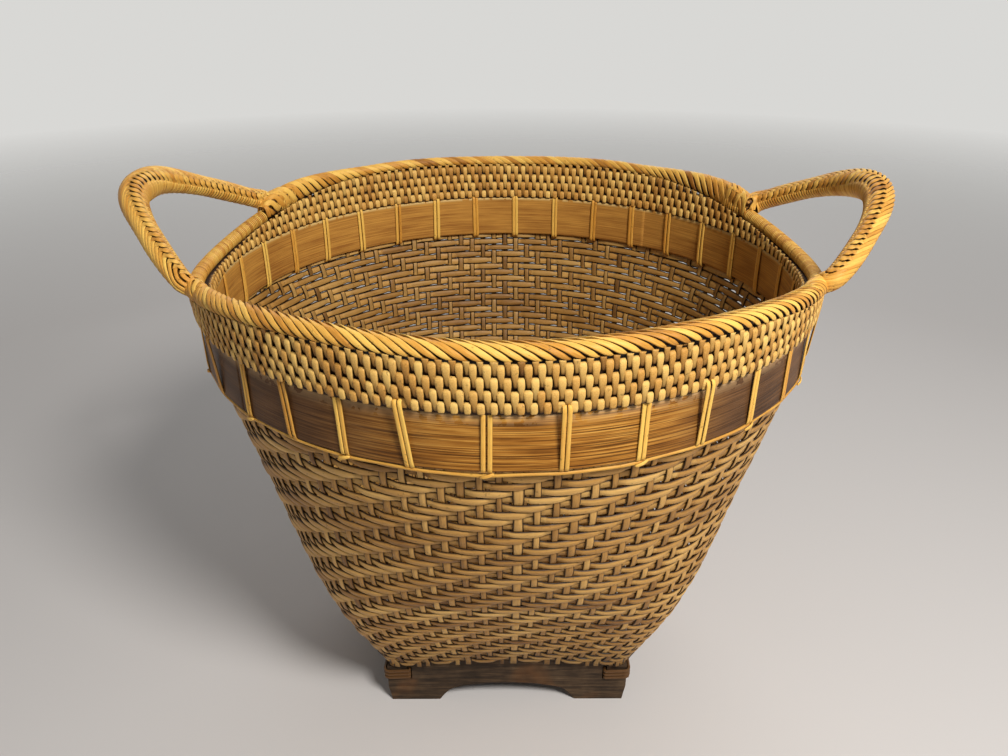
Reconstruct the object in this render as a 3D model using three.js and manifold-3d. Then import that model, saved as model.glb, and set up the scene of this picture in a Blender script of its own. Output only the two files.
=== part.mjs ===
// Handled cane basket on a square wooden foot, modelled in millimetres with +Z up.
// The origin is on the ground at the middle of the basket, the front faces -Y, and the
// two fixed loop handles lie on the X axis.
//
// From the ground up: four arched foot boards lashed together at their corners, a woven
// floor resting on their curved top edges, a wall that turns from a square plan into a
// round one, two bamboo hoops that clamp the wall between them and are lashed through
// it, a stitched collar over the wall's top edge, and a wrapped rim roll whose cane
// leaves the rim on both sides as a handle.

import * as THREE from 'three';
import { mergeVertices } from 'three/addons/utils/BufferGeometryUtils.js';
import Module from 'manifold-3d';

// Fits
const clearance = 0.3; // gap between pieces that touch
const slideGap = 0.5; // gap between a cane core and the wrapping round it

// Foot boards
const footHalfSide = 85.8; // middle of the basket to the outer face of a board
const boardThickness = 9;
const boardCornerHeight = 32; // top edge of a board at its ends
const boardCrown = 9.2; // how much higher that edge is at mid length
const padInnerHalf = 49; // middle of a board to the inner end of its foot pad
const archShoulderHalf = 37.5;
const archShoulderHeight = 11.6;
const archHeight = 16.3;
const endChamferWidth = 2.3;
const endChamferHeight = 13;

// Lashing of the foot corners
const cornerCaneRadius = 1.1;
const cornerTurns = 3;
const cornerTurnSpacing = 2.9;
const cornerLashingHeight = 21.6; // centre of the lowest turn
const cornerSlotInset = 15.8; // outer face of the next board to the middle of the slot

// Woven floor and wall
const wallThickness = 3.8;
const twillRelief = 1.7; // from the weave's ridges in to the valleys between them
const floorThickness = 3.6;
const wallFootOverhang = 2.4; // outer wall beyond the outer face of a board, at its foot
const wallTopRadius = 192.1; // outer wall behind the outer hoop
const wallBelly = 0.96; // 0 is a straight flare, larger swells the wall
const cornerSquareness = 10; // 0 is a round foot, larger is a squarer one
const squarenessFade = 3.8; // larger makes the square plan turn round lower down
const wallFlare = 2.7; // extra radius from the top of the hoops to the rim

// Bamboo hoops and their lashing
const hoopBottom = 267.5;
const hoopHeight = 28.5;
const hoopThickness = 2.2;
const outerSpliceAngle = 217; // where the outer hoop's upper end stops
const innerSpliceAngle = 58;
const lashingCount = 34;
const lashingWidth = 5.2;
const lashingThickness = 1.3;
const runnerRadius = 1.1; // cane running along the lower edge of the outer hoop

// Stitched collar
const collarOuterDepth = 5.2; // collar's outer face beyond the wall
const collarInnerDepth = 3.6;
const collarRows = 4;
const collarRowRelief = 0.8;
const collarRoof = 2.2;

// Rim
const rimStandOff = 1.9; // centre line of the rim core beyond the wall behind the outer hoop
const rimRise = 26.6; // its mean height over the top of the hoops
const rimDip = 10.5; // fall of the rim towards the handles
const rimDipSharpness = 3.85;
const rollRadius = 6.2; // wrapped roll at the front and back
const edgingRadius = 4.6; // thin wrapped edge between the legs of a handle
const rimCoreRadius = 3.2;

// Handles. Each loop was bent by hand, so the two differ a little.
const handleRootAngle = 31.8; // where the roll turns into a handle, from the X axis
const edgingHalfAngle = 23;
const handleTilt = 34; // slope of a loop above the horizontal
const handleReach = 64.2; // from the legs to the top of the loop
const rightLoop = {
  legAngle: 24.2, // where the leg lifts off the rim
  lift: 2.6, // how far it stands out and up from the rim core there
  shoulderReach: 7.8,
  shoulderHalf: 81.1,
  crownReach: 53.4,
  crownHalf: 34.2,
};
const leftLoop = {
  legAngle: 26.5,
  lift: 3.6,
  shoulderReach: 4.6,
  shoulderHalf: 86.9,
  crownReach: 57.8,
  crownHalf: 29.5,
};
const handleLegRadius = 7.5; // wrapping a quarter of the way along the loop
const handleCrownRadius = 10.9; // wrapping half way along it
const handleCoreRadius = 4.2;
const rootTuck = 1.6; // length of wrapping trimmed flush with the end of the roll

// Facets
const columns = lashingCount * 2; // wall facets, so that each lashing lies flat on one
const outerLevels = 17;
const innerLevels = 4;
const tubeSides = 8;
const boreSides = 6;
const handleSteps = 28;

const DEG = Math.PI / 180;
const columnStep = 360 / columns;
const flatness = Math.cos((columnStep / 2) * DEG); // facet middle over facet corner

const cane = { color: 0xd2a054, roughness: 0.5, metalness: 0 };
const agedCane = { color: 0xa98d5c, roughness: 0.62, metalness: 0 };
const darkBamboo = { color: 0x7a5128, roughness: 0.42, metalness: 0 };
const goldenBamboo = { color: 0xc08a34, roughness: 0.42, metalness: 0 };
const weatheredWood = { color: 0x695540, roughness: 0.78, metalness: 0 };
const darkCane = { color: 0x6b5030, roughness: 0.7, metalness: 0 };

const wasm = await Module();
wasm.setup();

const basket = new THREE.Group();

function addPiece(name, geometry, finish, parent = basket) {
  const mesh = new THREE.Mesh(geometry, new THREE.MeshStandardMaterial(finish));
  mesh.name = name;
  parent.add(mesh);
  return mesh;
}

// Closed body through a row of equal rings; the row closes on itself or gets flat caps
function skin(rings, closed) {
  const size = rings[0].length;
  const positions = [];
  const index = [];
  for (const ring of rings) {
    for (const p of ring) positions.push(p.x, p.y, p.z);
  }
  const last = closed ? rings.length : rings.length - 1;
  for (let i = 0; i < last; i += 1) {
    const next = (i + 1) % rings.length;
    for (let j = 0; j < size; j += 1) {
      const k = (j + 1) % size;
      const a = i * size + j;
      const b = i * size + k;
      const c = next * size + k;
      const d = next * size + j;
      index.push(a, b, c, a, c, d);
    }
  }
  if (!closed) {
    const end = (rings.length - 1) * size;
    for (let j = 1; j < size - 1; j += 1) {
      index.push(0, j + 1, j);
      index.push(end, end + j, end + j + 1);
    }
  }
  return outward(buildGeometry(positions, index));
}

// Tube wall between an outer and an inner row of rings, open through both ends
function sleeve(outerRings, innerRings) {
  const size = outerRings[0].length;
  const rows = outerRings.length;
  const positions = [];
  const index = [];
  for (const ring of [...outerRings, ...innerRings]) {
    for (const p of ring) positions.push(p.x, p.y, p.z);
  }
  const at = (row, j) => row * size + (j % size);
  for (let i = 0; i < rows - 1; i += 1) {
    for (let j = 0; j < size; j += 1) {
      index.push(at(i, j), at(i, j + 1), at(i + 1, j + 1));
      index.push(at(i, j), at(i + 1, j + 1), at(i + 1, j));
      const m = rows + i;
      index.push(at(m, j), at(m + 1, j + 1), at(m, j + 1));
      index.push(at(m, j), at(m + 1, j), at(m + 1, j + 1));
    }
  }
  for (let j = 0; j < size; j += 1) {
    index.push(at(0, j), at(rows, j + 1), at(0, j + 1));
    index.push(at(0, j), at(rows, j), at(rows, j + 1));
    const e = rows - 1;
    const f = rows * 2 - 1;
    index.push(at(e, j), at(e, j + 1), at(f, j + 1));
    index.push(at(e, j), at(f, j + 1), at(f, j));
  }
  return outward(buildGeometry(positions, index));
}

function buildGeometry(positions, index) {
  const geometry = new THREE.BufferGeometry();
  geometry.setAttribute('position', new THREE.Float32BufferAttribute(positions, 3));
  geometry.setIndex(index);
  return geometry;
}

// Turns every face over when the body is inside out
function outward(geometry) {
  const p = geometry.getAttribute('position');
  const index = Array.from(geometry.getIndex().array);
  const a = new THREE.Vector3();
  const b = new THREE.Vector3();
  const c = new THREE.Vector3();
  let volume = 0;
  for (let i = 0; i < index.length; i += 3) {
    a.fromBufferAttribute(p, index[i]);
    b.fromBufferAttribute(p, index[i + 1]);
    c.fromBufferAttribute(p, index[i + 2]);
    volume += a.dot(b.cross(c));
  }
  if (volume < 0) {
    for (let i = 0; i < index.length; i += 3) {
      [index[i + 1], index[i + 2]] = [index[i + 2], index[i + 1]];
    }
    geometry.setIndex(index);
  }
  return geometry;
}

function toSolid(geometry) {
  const plain = geometry.clone();
  plain.deleteAttribute('normal');
  plain.deleteAttribute('uv');
  const merged = mergeVertices(plain, 1e-5);
  return new wasm.Manifold(new wasm.Mesh({
    numProp: 3,
    vertProperties: new Float32Array(merged.getAttribute('position').array),
    triVerts: new Uint32Array(merged.getIndex().array),
  }));
}

function fromSolid(solid) {
  const mesh = solid.getMesh();
  return buildGeometry(Array.from(mesh.vertProperties), Array.from(mesh.triVerts));
}

function cut(geometry, cutters) {
  let solid = toSolid(geometry);
  for (const cutter of cutters) solid = solid.subtract(toSolid(cutter));
  return fromSolid(solid);
}

function polar(angle, radius, z) {
  return new THREE.Vector3(radius * Math.cos(angle * DEG), radius * Math.sin(angle * DEG), z);
}

// Ring of points round a path point, in the plane square to the tangent
function circleRing(centre, tangent, radius, sides) {
  const side = new THREE.Vector3().crossVectors(tangent, new THREE.Vector3(0, 0, 1));
  side.normalize();
  const up = new THREE.Vector3().crossVectors(side, tangent).normalize();
  const ring = [];
  for (let i = 0; i < sides; i += 1) {
    const a = ((i + 0.5) / sides) * 2 * Math.PI;
    const p = centre.clone();
    p.addScaledVector(side, radius * Math.cos(a));
    p.addScaledVector(up, radius * Math.sin(a));
    ring.push(p);
  }
  return ring;
}

function pathTangent(points, i, closed) {
  const n = points.length;
  const before = closed ? points[(i - 1 + n) % n] : points[Math.max(i - 1, 0)];
  const after = closed ? points[(i + 1) % n] : points[Math.min(i + 1, n - 1)];
  return after.clone().sub(before).normalize();
}

function tubeRings(points, radiusAt, sides, closed = false) {
  return points.map((p, i) => (
    circleRing(p, pathTangent(points, i, closed), radiusAt(i), sides)
  ));
}

// Shape of the foot and of the wall over it

// Height of a board's top edge at a distance from its middle
function boardTop(x) {
  const share = Math.min(Math.abs(x) / footHalfSide, 1);
  return boardCornerHeight + boardCrown * (1 - share * share);
}

// Underside of the floor, which follows the top edges of all four boards
function floorUnderside(x, y) {
  const sx = Math.min(Math.abs(x) / footHalfSide, 1);
  const sy = Math.min(Math.abs(y) / footHalfSide, 1);
  return boardCornerHeight + clearance + boardCrown * (1 - sx * sx * sy * sy);
}

const hoopTop = hoopBottom + hoopHeight;
const wallFootRadius = footHalfSide + wallFootOverhang;
const rimRadius = wallTopRadius + rimStandOff;
const rimHeight = hoopTop + rimRise;

// Radius of the wall's outer face at a polar angle and a height
function wallRadius(angle, z) {
  const u = THREE.MathUtils.clamp((z - boardCornerHeight) / (hoopBottom - boardCornerHeight), 0, 1);
  const swell = u + wallBelly * u * u * (1 - u) ** 1.3;
  const half = wallFootRadius + (wallTopRadius - wallFootRadius) * swell;
  const power = 2 + cornerSquareness * (1 - u) ** squarenessFade;
  const c = Math.abs(Math.cos(angle * DEG));
  const s = Math.abs(Math.sin(angle * DEG));
  const plan = half / (c ** power + s ** power) ** (1 / power);
  const above = Math.max(z - hoopTop, 0) / (rimHeight - hoopTop);
  return plan + wallFlare * above;
}

// Bottom edge of the wall at a depth inside its outer face, level with the floor's edge
function wallFootHeight(angle, depth = 0) {
  const r = wallRadius(angle, boardCornerHeight) - depth;
  return floorUnderside(r * Math.cos(angle * DEG), r * Math.sin(angle * DEG));
}

const columnAngles = Array.from({ length: columns }, (_, i) => 270 + i * columnStep);

// Rim centre line: high at the front and back, low between the legs of each handle
function rimZ(angle) {
  const a = angle * DEG;
  return rimHeight - rimDip * Math.cos(2 * a) - rimDipSharpness * Math.cos(4 * a);
}

// Angle from the nearer end of the X axis, 0 at a handle and 90 at the front or back
function angleFromSide(angle) {
  const a = ((angle % 180) + 180) % 180;
  return Math.min(a, 180 - a);
}

// Depth of the rim's underside below its centre line
function rimSeat(angle) {
  const from = edgingHalfAngle - columnStep;
  const blend = THREE.MathUtils.smoothstep(angleFromSide(angle), from, handleRootAngle);
  return THREE.MathUtils.lerp(edgingRadius, rollRadius, blend);
}

// Foot boards
function footBoardShape(halfLength, chamfered) {
  const shape = new THREE.Shape();
  const inset = chamfered ? endChamferWidth : 0;
  shape.moveTo(-halfLength + inset, 0);
  shape.lineTo(-padInnerHalf, 0);
  shape.quadraticCurveTo(
    -archShoulderHalf - 5, archShoulderHeight * 0.9, -archShoulderHalf, archShoulderHeight,
  );
  shape.quadraticCurveTo(-archShoulderHalf * 0.6, archHeight, 0, archHeight);
  shape.quadraticCurveTo(
    archShoulderHalf * 0.6, archHeight, archShoulderHalf, archShoulderHeight,
  );
  shape.quadraticCurveTo(archShoulderHalf + 5, archShoulderHeight * 0.9, padInnerHalf, 0);
  shape.lineTo(halfLength - inset, 0);
  if (chamfered) shape.lineTo(halfLength, endChamferHeight);
  const steps = 14;
  for (let i = 0; i <= steps; i += 1) {
    const x = halfLength * (1 - (2 * i) / steps);
    shape.lineTo(x, boardTop(x));
  }
  if (chamfered) shape.lineTo(-halfLength, endChamferHeight);
  shape.closePath();
  return shape;
}

// Upright slot near each end of a board, as tall as the lashing that passes through it
function cornerSlot(side) {
  const low = cornerLashingHeight - cornerCaneRadius - slideGap;
  const high = cornerLashingHeight + cornerTurns * cornerTurnSpacing + cornerCaneRadius + slideGap;
  const width = 2 * (cornerCaneRadius + slideGap);
  const slot = new THREE.BoxGeometry(width, boardThickness * 3, high - low);
  slot.translate(side * (footHalfSide - cornerSlotInset), -footHalfSide, (low + high) / 2);
  return slot;
}

function footBoard(name, turn, halfLength, chamfered) {
  const geometry = new THREE.ExtrudeGeometry(footBoardShape(halfLength, chamfered), {
    depth: boardThickness,
    bevelEnabled: false,
    curveSegments: 5,
  });
  geometry.rotateX(Math.PI / 2);
  geometry.translate(0, -(footHalfSide - boardThickness), 0);
  const group = new THREE.Group();
  group.rotation.z = turn * DEG;
  basket.add(group);
  addPiece(name, cut(geometry, [cornerSlot(-1), cornerSlot(1)]), weatheredWood, group);
}

const sideBoardHalf = footHalfSide - boardThickness - clearance;
footBoard('foot_board_front', 0, footHalfSide, true);
footBoard('foot_board_back', 180, footHalfSide, true);
footBoard('foot_board_right', 90, sideBoardHalf, false);
footBoard('foot_board_left', -90, sideBoardHalf, false);

// Corner lashing: one cane wound through a slot in each board and round the corner
function cornerLashing() {
  const out = footHalfSide + 2 * clearance + cornerCaneRadius;
  const inn = footHalfSide - boardThickness - clearance - cornerCaneRadius;
  const slot = footHalfSide - cornerSlotInset;
  const bend = 3;
  const nip = 0.4;
  const plan = [
    [slot + nip, -out],
    [(slot + out) / 2, -out],
    [out - bend, -out],
    [out - bend * 0.3, -out + bend * 0.3],
    [out, -out + bend],
    [out, -(slot + out) / 2],
    [out, -slot - nip],
    [out - nip, -slot],
    [(inn + out) / 2, -slot],
    [inn, -slot],
    [(inn + slot) / 2, -(inn + slot) / 2],
    [slot, -inn],
    [slot, -(inn + out) / 2],
    [slot, -out + nip],
  ];
  const lengths = [0];
  for (let i = 1; i <= plan.length; i += 1) {
    const [ax, ay] = plan[i - 1];
    const [bx, by] = plan[i % plan.length];
    lengths.push(lengths[i - 1] + Math.hypot(bx - ax, by - ay));
  }
  const turnLength = lengths[plan.length];
  const points = [];
  const start = plan.length - 4; // the cane begins and ends behind the corner
  const count = cornerTurns * plan.length + 1;
  for (let i = 0; i < count; i += 1) {
    const k = start + i;
    const turn = Math.floor(k / plan.length);
    const along = turn + lengths[k % plan.length] / turnLength;
    const from = lengths[start] / turnLength;
    const [x, y] = plan[k % plan.length];
    points.push(new THREE.Vector3(x, y, cornerLashingHeight + (along - from) * cornerTurnSpacing));
  }
  return points;
}

// Least clear distance between parts of a wound tube that are more than a bend apart
function leastSelfGap(points, radius) {
  let least = Infinity;
  for (let i = 0; i < points.length; i += 1) {
    let run = 0;
    for (let j = i + 1; j < points.length; j += 1) {
      run += points[j].distanceTo(points[j - 1]);
      if (run > radius * 8) least = Math.min(least, points[i].distanceTo(points[j]) - 2 * radius);
    }
  }
  return least;
}

const cornerPath = cornerLashing();
const cornerGap = leastSelfGap(cornerPath, cornerCaneRadius);
console.log(`corner lashing, least gap to itself: ${cornerGap.toFixed(2)} mm`);
const cornerNames = ['front_right', 'back_right', 'back_left', 'front_left'];
cornerNames.forEach((place, i) => {
  const rings = tubeRings(cornerPath, () => cornerCaneRadius, 5);
  const mesh = addPiece(`corner_lashing_${place}`, skin(rings, false), darkCane);
  mesh.rotation.z = (i * Math.PI) / 2;
});

// Woven floor: a low dome that rests on the boards and ends inside the wall
function floorGeometry() {
  const shares = [0.55, 1];
  const positions = [];
  const index = [];
  const rimAt = (angle) => wallRadius(angle, wallFootHeight(angle)) - wallThickness - clearance;
  const topOf = (x, y) => floorUnderside(x, y) + floorThickness;
  for (const surface of [floorUnderside, topOf]) {
    positions.push(0, 0, surface(0, 0));
    for (const share of shares) {
      for (const angle of columnAngles) {
        const p = polar(angle, rimAt(angle) * share, 0);
        positions.push(p.x, p.y, surface(p.x, p.y));
      }
    }
  }
  const perSide = 1 + shares.length * columns;
  const at = (side, ring, j) => side * perSide + 1 + ring * columns + (j % columns);
  for (let j = 0; j < columns; j += 1) {
    index.push(0, at(0, 0, j + 1), at(0, 0, j));
    index.push(perSide, at(1, 0, j), at(1, 0, j + 1));
    for (let k = 0; k < shares.length - 1; k += 1) {
      index.push(at(0, k, j), at(0, k, j + 1), at(0, k + 1, j + 1));
      index.push(at(0, k, j), at(0, k + 1, j + 1), at(0, k + 1, j));
      index.push(at(1, k, j), at(1, k + 1, j + 1), at(1, k, j + 1));
      index.push(at(1, k, j), at(1, k + 1, j), at(1, k + 1, j + 1));
    }
    const e = shares.length - 1;
    index.push(at(0, e, j), at(0, e, j + 1), at(1, e, j + 1));
    index.push(at(0, e, j), at(1, e, j + 1), at(1, e, j));
  }
  return outward(buildGeometry(positions, index));
}
addPiece('floor_weave', floorGeometry(), agedCane);

// Woven wall: square at the foot, round behind the hoops, pierced for each lashing
const collarBottom = hoopTop + lashingThickness + 2 * clearance;
const collarTop = (angle) => rimZ(angle) - rimSeat(angle) - clearance;
const wallTop = (angle) => collarTop(angle) - collarRoof - clearance;

// The twill's slanting ridges climb one facet a level. Its valleys lie behind them.
function twillDepth(angle, level) {
  const column = Math.round((angle - 270) / columnStep);
  const inWeave = level > 0 && level < outerLevels;
  return inWeave && (column + level) % 2 !== 0 ? twillRelief : 0;
}

function wallFace(angle, depth, levels) {
  const foot = wallFootHeight(angle, depth);
  const heights = [];
  for (let i = 0; i <= levels; i += 1) {
    heights.push(THREE.MathUtils.lerp(foot, hoopBottom, i / levels));
  }
  heights.push(hoopTop, wallTop(angle));
  return heights.map((z) => polar(angle, wallRadius(angle, z) - depth, z));
}
function twillFace(angle) {
  return wallFace(angle, 0, outerLevels).map((point, level) => {
    const inward = polar(angle, twillDepth(angle, level), 0);
    return point.sub(inward);
  });
}
const wallSection = (angle) => [
  ...twillFace(angle),
  ...wallFace(angle, wallThickness, innerLevels).reverse(),
];

const outerHoopInner = wallTopRadius + clearance;
const innerHoopOuter = wallTopRadius - wallThickness - clearance;
const lashOuter = (outerHoopInner + hoopThickness) + clearance;
const lashInner = (innerHoopOuter - hoopThickness) * flatness - clearance;
const lashHigh = hoopTop + clearance;
const lashLow = hoopBottom - clearance;
const lashingAngles = Array.from(
  { length: lashingCount }, (_, i) => 270 - columnStep / 2 + i * 2 * columnStep,
);

function lashingHole(angle, z) {
  const height = lashingThickness + 2 * clearance;
  const hole = new THREE.BoxGeometry(wallThickness * 4, lashingWidth + 2 * clearance, height);
  hole.translate(wallTopRadius - wallThickness / 2, 0, z);
  hole.rotateZ(angle * DEG);
  return hole;
}

const wallHoles = lashingAngles.flatMap((angle) => [
  lashingHole(angle, lashHigh + lashingThickness / 2),
  lashingHole(angle, lashLow - lashingThickness / 2),
]);
addPiece('body_weave', cut(skin(columnAngles.map(wallSection), true), wallHoles), agedCane);

// Bamboo hoop: a split strip bent round, its thinned ends lying one over the other
function hoop(innerRadius, startAngle) {
  const first = Math.round((startAngle - 270) / columnStep);
  const thin = (hoopThickness - clearance) / 2;
  const stepBack = (clearance / innerRadius) / DEG;
  const lap = 2;
  const stations = [];
  const outerRadius = innerRadius + hoopThickness;
  for (let i = 0; i <= columns + lap; i += 1) {
    const angle = 270 + (first - lap + i) * columnStep;
    if (i <= lap) stations.push([angle, innerRadius, innerRadius + thin]);
    if (i === lap) stations.push([angle + stepBack, innerRadius, outerRadius]);
    if (i > lap && i < columns) stations.push([angle, innerRadius, outerRadius]);
    if (i === columns) stations.push([angle - stepBack, innerRadius, outerRadius]);
    if (i >= columns) stations.push([angle, outerRadius - thin, outerRadius]);
  }
  const rings = stations.map(([angle, low, high]) => [
    polar(angle, low, hoopBottom),
    polar(angle, high, hoopBottom),
    polar(angle, high, hoopTop),
    polar(angle, low, hoopTop),
  ]);
  return skin(rings, false);
}
addPiece('outer_hoop', hoop(outerHoopInner, outerSpliceAngle), darkBamboo);
addPiece('inner_hoop', hoop(innerHoopOuter - hoopThickness, innerSpliceAngle), goldenBamboo);

// Lashing: a flat cane loop over both hoops, through the wall above and below them
function lashingGeometry() {
  const t = lashingThickness;
  const bend = t * 0.8;
  const loop = (grow) => {
    const lowR = lashInner - grow;
    const highR = lashOuter + grow;
    const lowZ = lashLow - grow;
    const highZ = lashHigh + grow;
    const b = grow > 0 ? bend : bend * 0.3;
    return [
      [highR, lowZ + b], [highR, highZ - b], [highR - b, highZ], [lowR + b, highZ],
      [lowR, highZ - b], [lowR, lowZ + b], [lowR + b, lowZ], [highR - b, lowZ],
    ];
  };
  const near = loop(0);
  const far = loop(t);
  const half = lashingWidth / 2;
  const rings = near.map(([r, z], i) => [
    new THREE.Vector3(r, -half, z),
    new THREE.Vector3(far[i][0], -half, far[i][1]),
    new THREE.Vector3(far[i][0], half, far[i][1]),
    new THREE.Vector3(r, half, z),
  ]);
  return skin(rings, true);
}
lashingAngles.forEach((angle, i) => {
  const number = String(i + 1).padStart(2, '0');
  const mesh = addPiece(`hoop_lashing_${number}`, lashingGeometry(), cane);
  mesh.rotation.z = angle * DEG;
});

// Runner cane against the wall, just below the lashings' lower bends
const runnerZ = lashLow - lashingThickness - clearance - runnerRadius;
const runnerRings = columnAngles.map((angle) => {
  const centre = polar(angle, wallTopRadius + clearance + runnerRadius, runnerZ);
  const tangent = new THREE.Vector3(-Math.sin(angle * DEG), Math.cos(angle * DEG), 0);
  return circleRing(centre, tangent, runnerRadius, 4);
});
addPiece('lashing_runner', skin(runnerRings, true), cane);

// Collar: stitched rows over both faces of the wall and its top edge
function collarSection(angle, grow = 0) {
  const top = collarTop(angle) + grow;
  const low = collarBottom - grow;
  const tall = top - low;
  const wallOut = (z) => wallRadius(angle, z);
  const section = [];
  const slotOut = (z) => wallOut(z) + clearance - grow;
  const slotIn = (z) => wallOut(z) - wallThickness - clearance + grow;
  const roof = top - collarRoof - grow;
  const face = (z, depth) => wallOut(z) + depth + grow;
  section.push(polar(angle, slotOut(low), low));
  for (let i = 0; i < collarRows; i += 1) {
    const low1 = low + (tall * i) / collarRows;
    const mid = low + (tall * (i + 0.55)) / collarRows;
    section.push(polar(angle, face(low1, collarOuterDepth - collarRowRelief), low1));
    section.push(polar(angle, face(mid, collarOuterDepth), mid));
  }
  section.push(polar(angle, face(top, collarOuterDepth - collarRowRelief), top));
  section.push(polar(angle, slotIn(top) - collarInnerDepth * 0.7 - 2 * grow, top));
  const middle = (low + top) / 2;
  section.push(polar(angle, slotIn(middle) - collarInnerDepth - 2 * grow, middle));
  section.push(polar(angle, slotIn(low) - collarInnerDepth * 0.8 - 2 * grow, low));
  section.push(polar(angle, slotIn(low), low));
  section.push(polar(angle, slotIn(roof), roof));
  section.push(polar(angle, slotOut(roof), roof));
  return section;
}
const collar = (grow) => skin(columnAngles.map((angle) => collarSection(angle, grow)), true);
addPiece('collar_weave', collar(0), cane);

// Rim core: a cane hoop that runs all the way round inside the wrappings
const rimPoint = (angle) => polar(angle, rimRadius, rimZ(angle));

function rimTangent(angle) {
  return rimPoint(angle + 0.5).sub(rimPoint(angle - 0.5)).normalize();
}

function rimRings(angles, radius, sides) {
  return angles.map((angle) => circleRing(rimPoint(angle), rimTangent(angle), radius, sides));
}
addPiece('rim_core', skin(rimRings(columnAngles, rimCoreRadius, boreSides), true), cane);

// Angles of the facet corners inside a stretch of the rim, with its two ends
function stretch(from, to) {
  const inside = [];
  for (let i = -columns; i <= columns; i += 1) {
    const angle = 270 + i * columnStep;
    if (angle > from + 0.6 && angle < to - 0.6) inside.push(angle);
  }
  return [from, ...inside, to];
}

function rimSleeve(from, to, radius) {
  const angles = stretch(from, to);
  return sleeve(
    rimRings(angles, radius, tubeSides),
    rimRings(angles, rimCoreRadius + slideGap, tubeSides),
  );
}

// Wrapped roll over the front and back of the rim, thin wrapped edging at the sides
const endGap = clearance / rimRadius / DEG;
const rollFrom = handleRootAngle + endGap;
addPiece('rim_wrap_front', rimSleeve(180 + rollFrom, 360 - rollFrom, rollRadius), cane);
addPiece('rim_wrap_back', rimSleeve(rollFrom, 180 - rollFrom, rollRadius), cane);
const edgingRight = rimSleeve(-edgingHalfAngle, edgingHalfAngle, edgingRadius);
addPiece('rim_edging_right', edgingRight, cane);
addPiece('rim_edging_left', rimSleeve(180 - edgingHalfAngle, 180 + edgingHalfAngle, edgingRadius), cane);

// Handle centre line, for the right side: out of the roll, over the gap and back
function handleCurve(loop) {
  const foot = rimPoint(loop.legAngle).add(new THREE.Vector3(loop.lift, 0, loop.lift));
  const onLoop = (reach, half) => new THREE.Vector3(
    foot.x + reach * Math.cos(handleTilt * DEG),
    half,
    foot.z + reach * Math.sin(handleTilt * DEG),
  );
  const halfLoop = [
    rimPoint(handleRootAngle + 6),
    rimPoint(handleRootAngle),
    foot,
    onLoop(loop.shoulderReach, loop.shoulderHalf),
    onLoop(loop.crownReach, loop.crownHalf),
  ];
  const mirrored = halfLoop.map((p) => new THREE.Vector3(p.x, -p.y, p.z)).reverse();
  const points = [...halfLoop, onLoop(handleReach, 0), ...mirrored];
  return new THREE.CatmullRomCurve3(points, false, 'centripetal');
}

// Shares of the curve's length at which a handle's rings stand
function handleShares(curve) {
  const spans = curve.points.length - 1;
  const lengths = curve.getLengths(spans * 20);
  const whole = lengths[spans * 20];
  const from = (lengths[20] - rootTuck) / whole;
  return Array.from({ length: handleSteps + 1 }, (_, i) => (
    THREE.MathUtils.lerp(from, 1 - from, i / handleSteps)
  ));
}

// The wrapping is as thick as the roll where it leaves it and thickest at the crown
function wrapRadius(i) {
  const quarter = handleSteps / 4;
  const near = Math.min(i, handleSteps - i);
  const legs = THREE.MathUtils.smoothstep(near / quarter, 0, 1);
  const crown = THREE.MathUtils.smoothstep(near / quarter, 1, 2);
  return rollRadius + (handleLegRadius - rollRadius) * legs
    + (handleCrownRadius - handleLegRadius) * crown;
}

// How far a handle path point lies from the rim's centre line
function rimDistance(point) {
  return point.distanceTo(rimPoint(Math.atan2(point.y, point.x) / DEG));
}

const boreRadius = handleCoreRadius + slideGap;
const edgingAngles = stretch(-edgingHalfAngle - endGap, edgingHalfAngle + endGap);
const rollEnds = [1, -1].map((side) => skin(rimRings(
  [0, 3, 6].map((beyond) => side * (handleRootAngle + beyond)),
  rollRadius + handleLegRadius,
  tubeSides,
), false));
const handleTrims = [
  skin(rimRings(columnAngles, rimCoreRadius + slideGap, boreSides), true),
  skin(rimRings(edgingAngles, edgingRadius + clearance, tubeSides), false),
  ...rollEnds,
  collar(clearance),
];

for (const [side, loop, turn] of [['right', rightLoop, 0], ['left', leftLoop, 180]]) {
  const curve = handleCurve(loop);
  const shares = handleShares(curve);
  const path = shares.map((share) => curve.getPointAt(share));
  const rings = (radiusAt, sides) => path.map((p, i) => (
    circleRing(p, curve.getTangentAt(shares[i]), radiusAt(i), sides)
  ));
  const within = (from) => (_, i) => i >= from && i <= handleSteps - from;
  const meet = path.findIndex((p) => rimDistance(p) > rimCoreRadius);
  const free = path.findIndex((p) => rimDistance(p) > rimCoreRadius + boreRadius + clearance);
  const core = skin(rings(() => handleCoreRadius, boreSides).filter(within(free)), false);
  const bore = skin(rings(() => boreRadius, boreSides).filter(within(meet)), false);
  const group = new THREE.Group();
  group.rotation.z = turn * DEG;
  basket.add(group);
  addPiece(`handle_core_${side}`, core, cane, group);
  const wrap = cut(skin(rings(wrapRadius, tubeSides), false), [bore, ...handleTrims]);
  addPiece(`handle_wrap_${side}`, wrap, cane, group);
}

export default basket;
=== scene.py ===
import bpy
import numpy as np
from mathutils import Matrix, Vector

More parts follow.
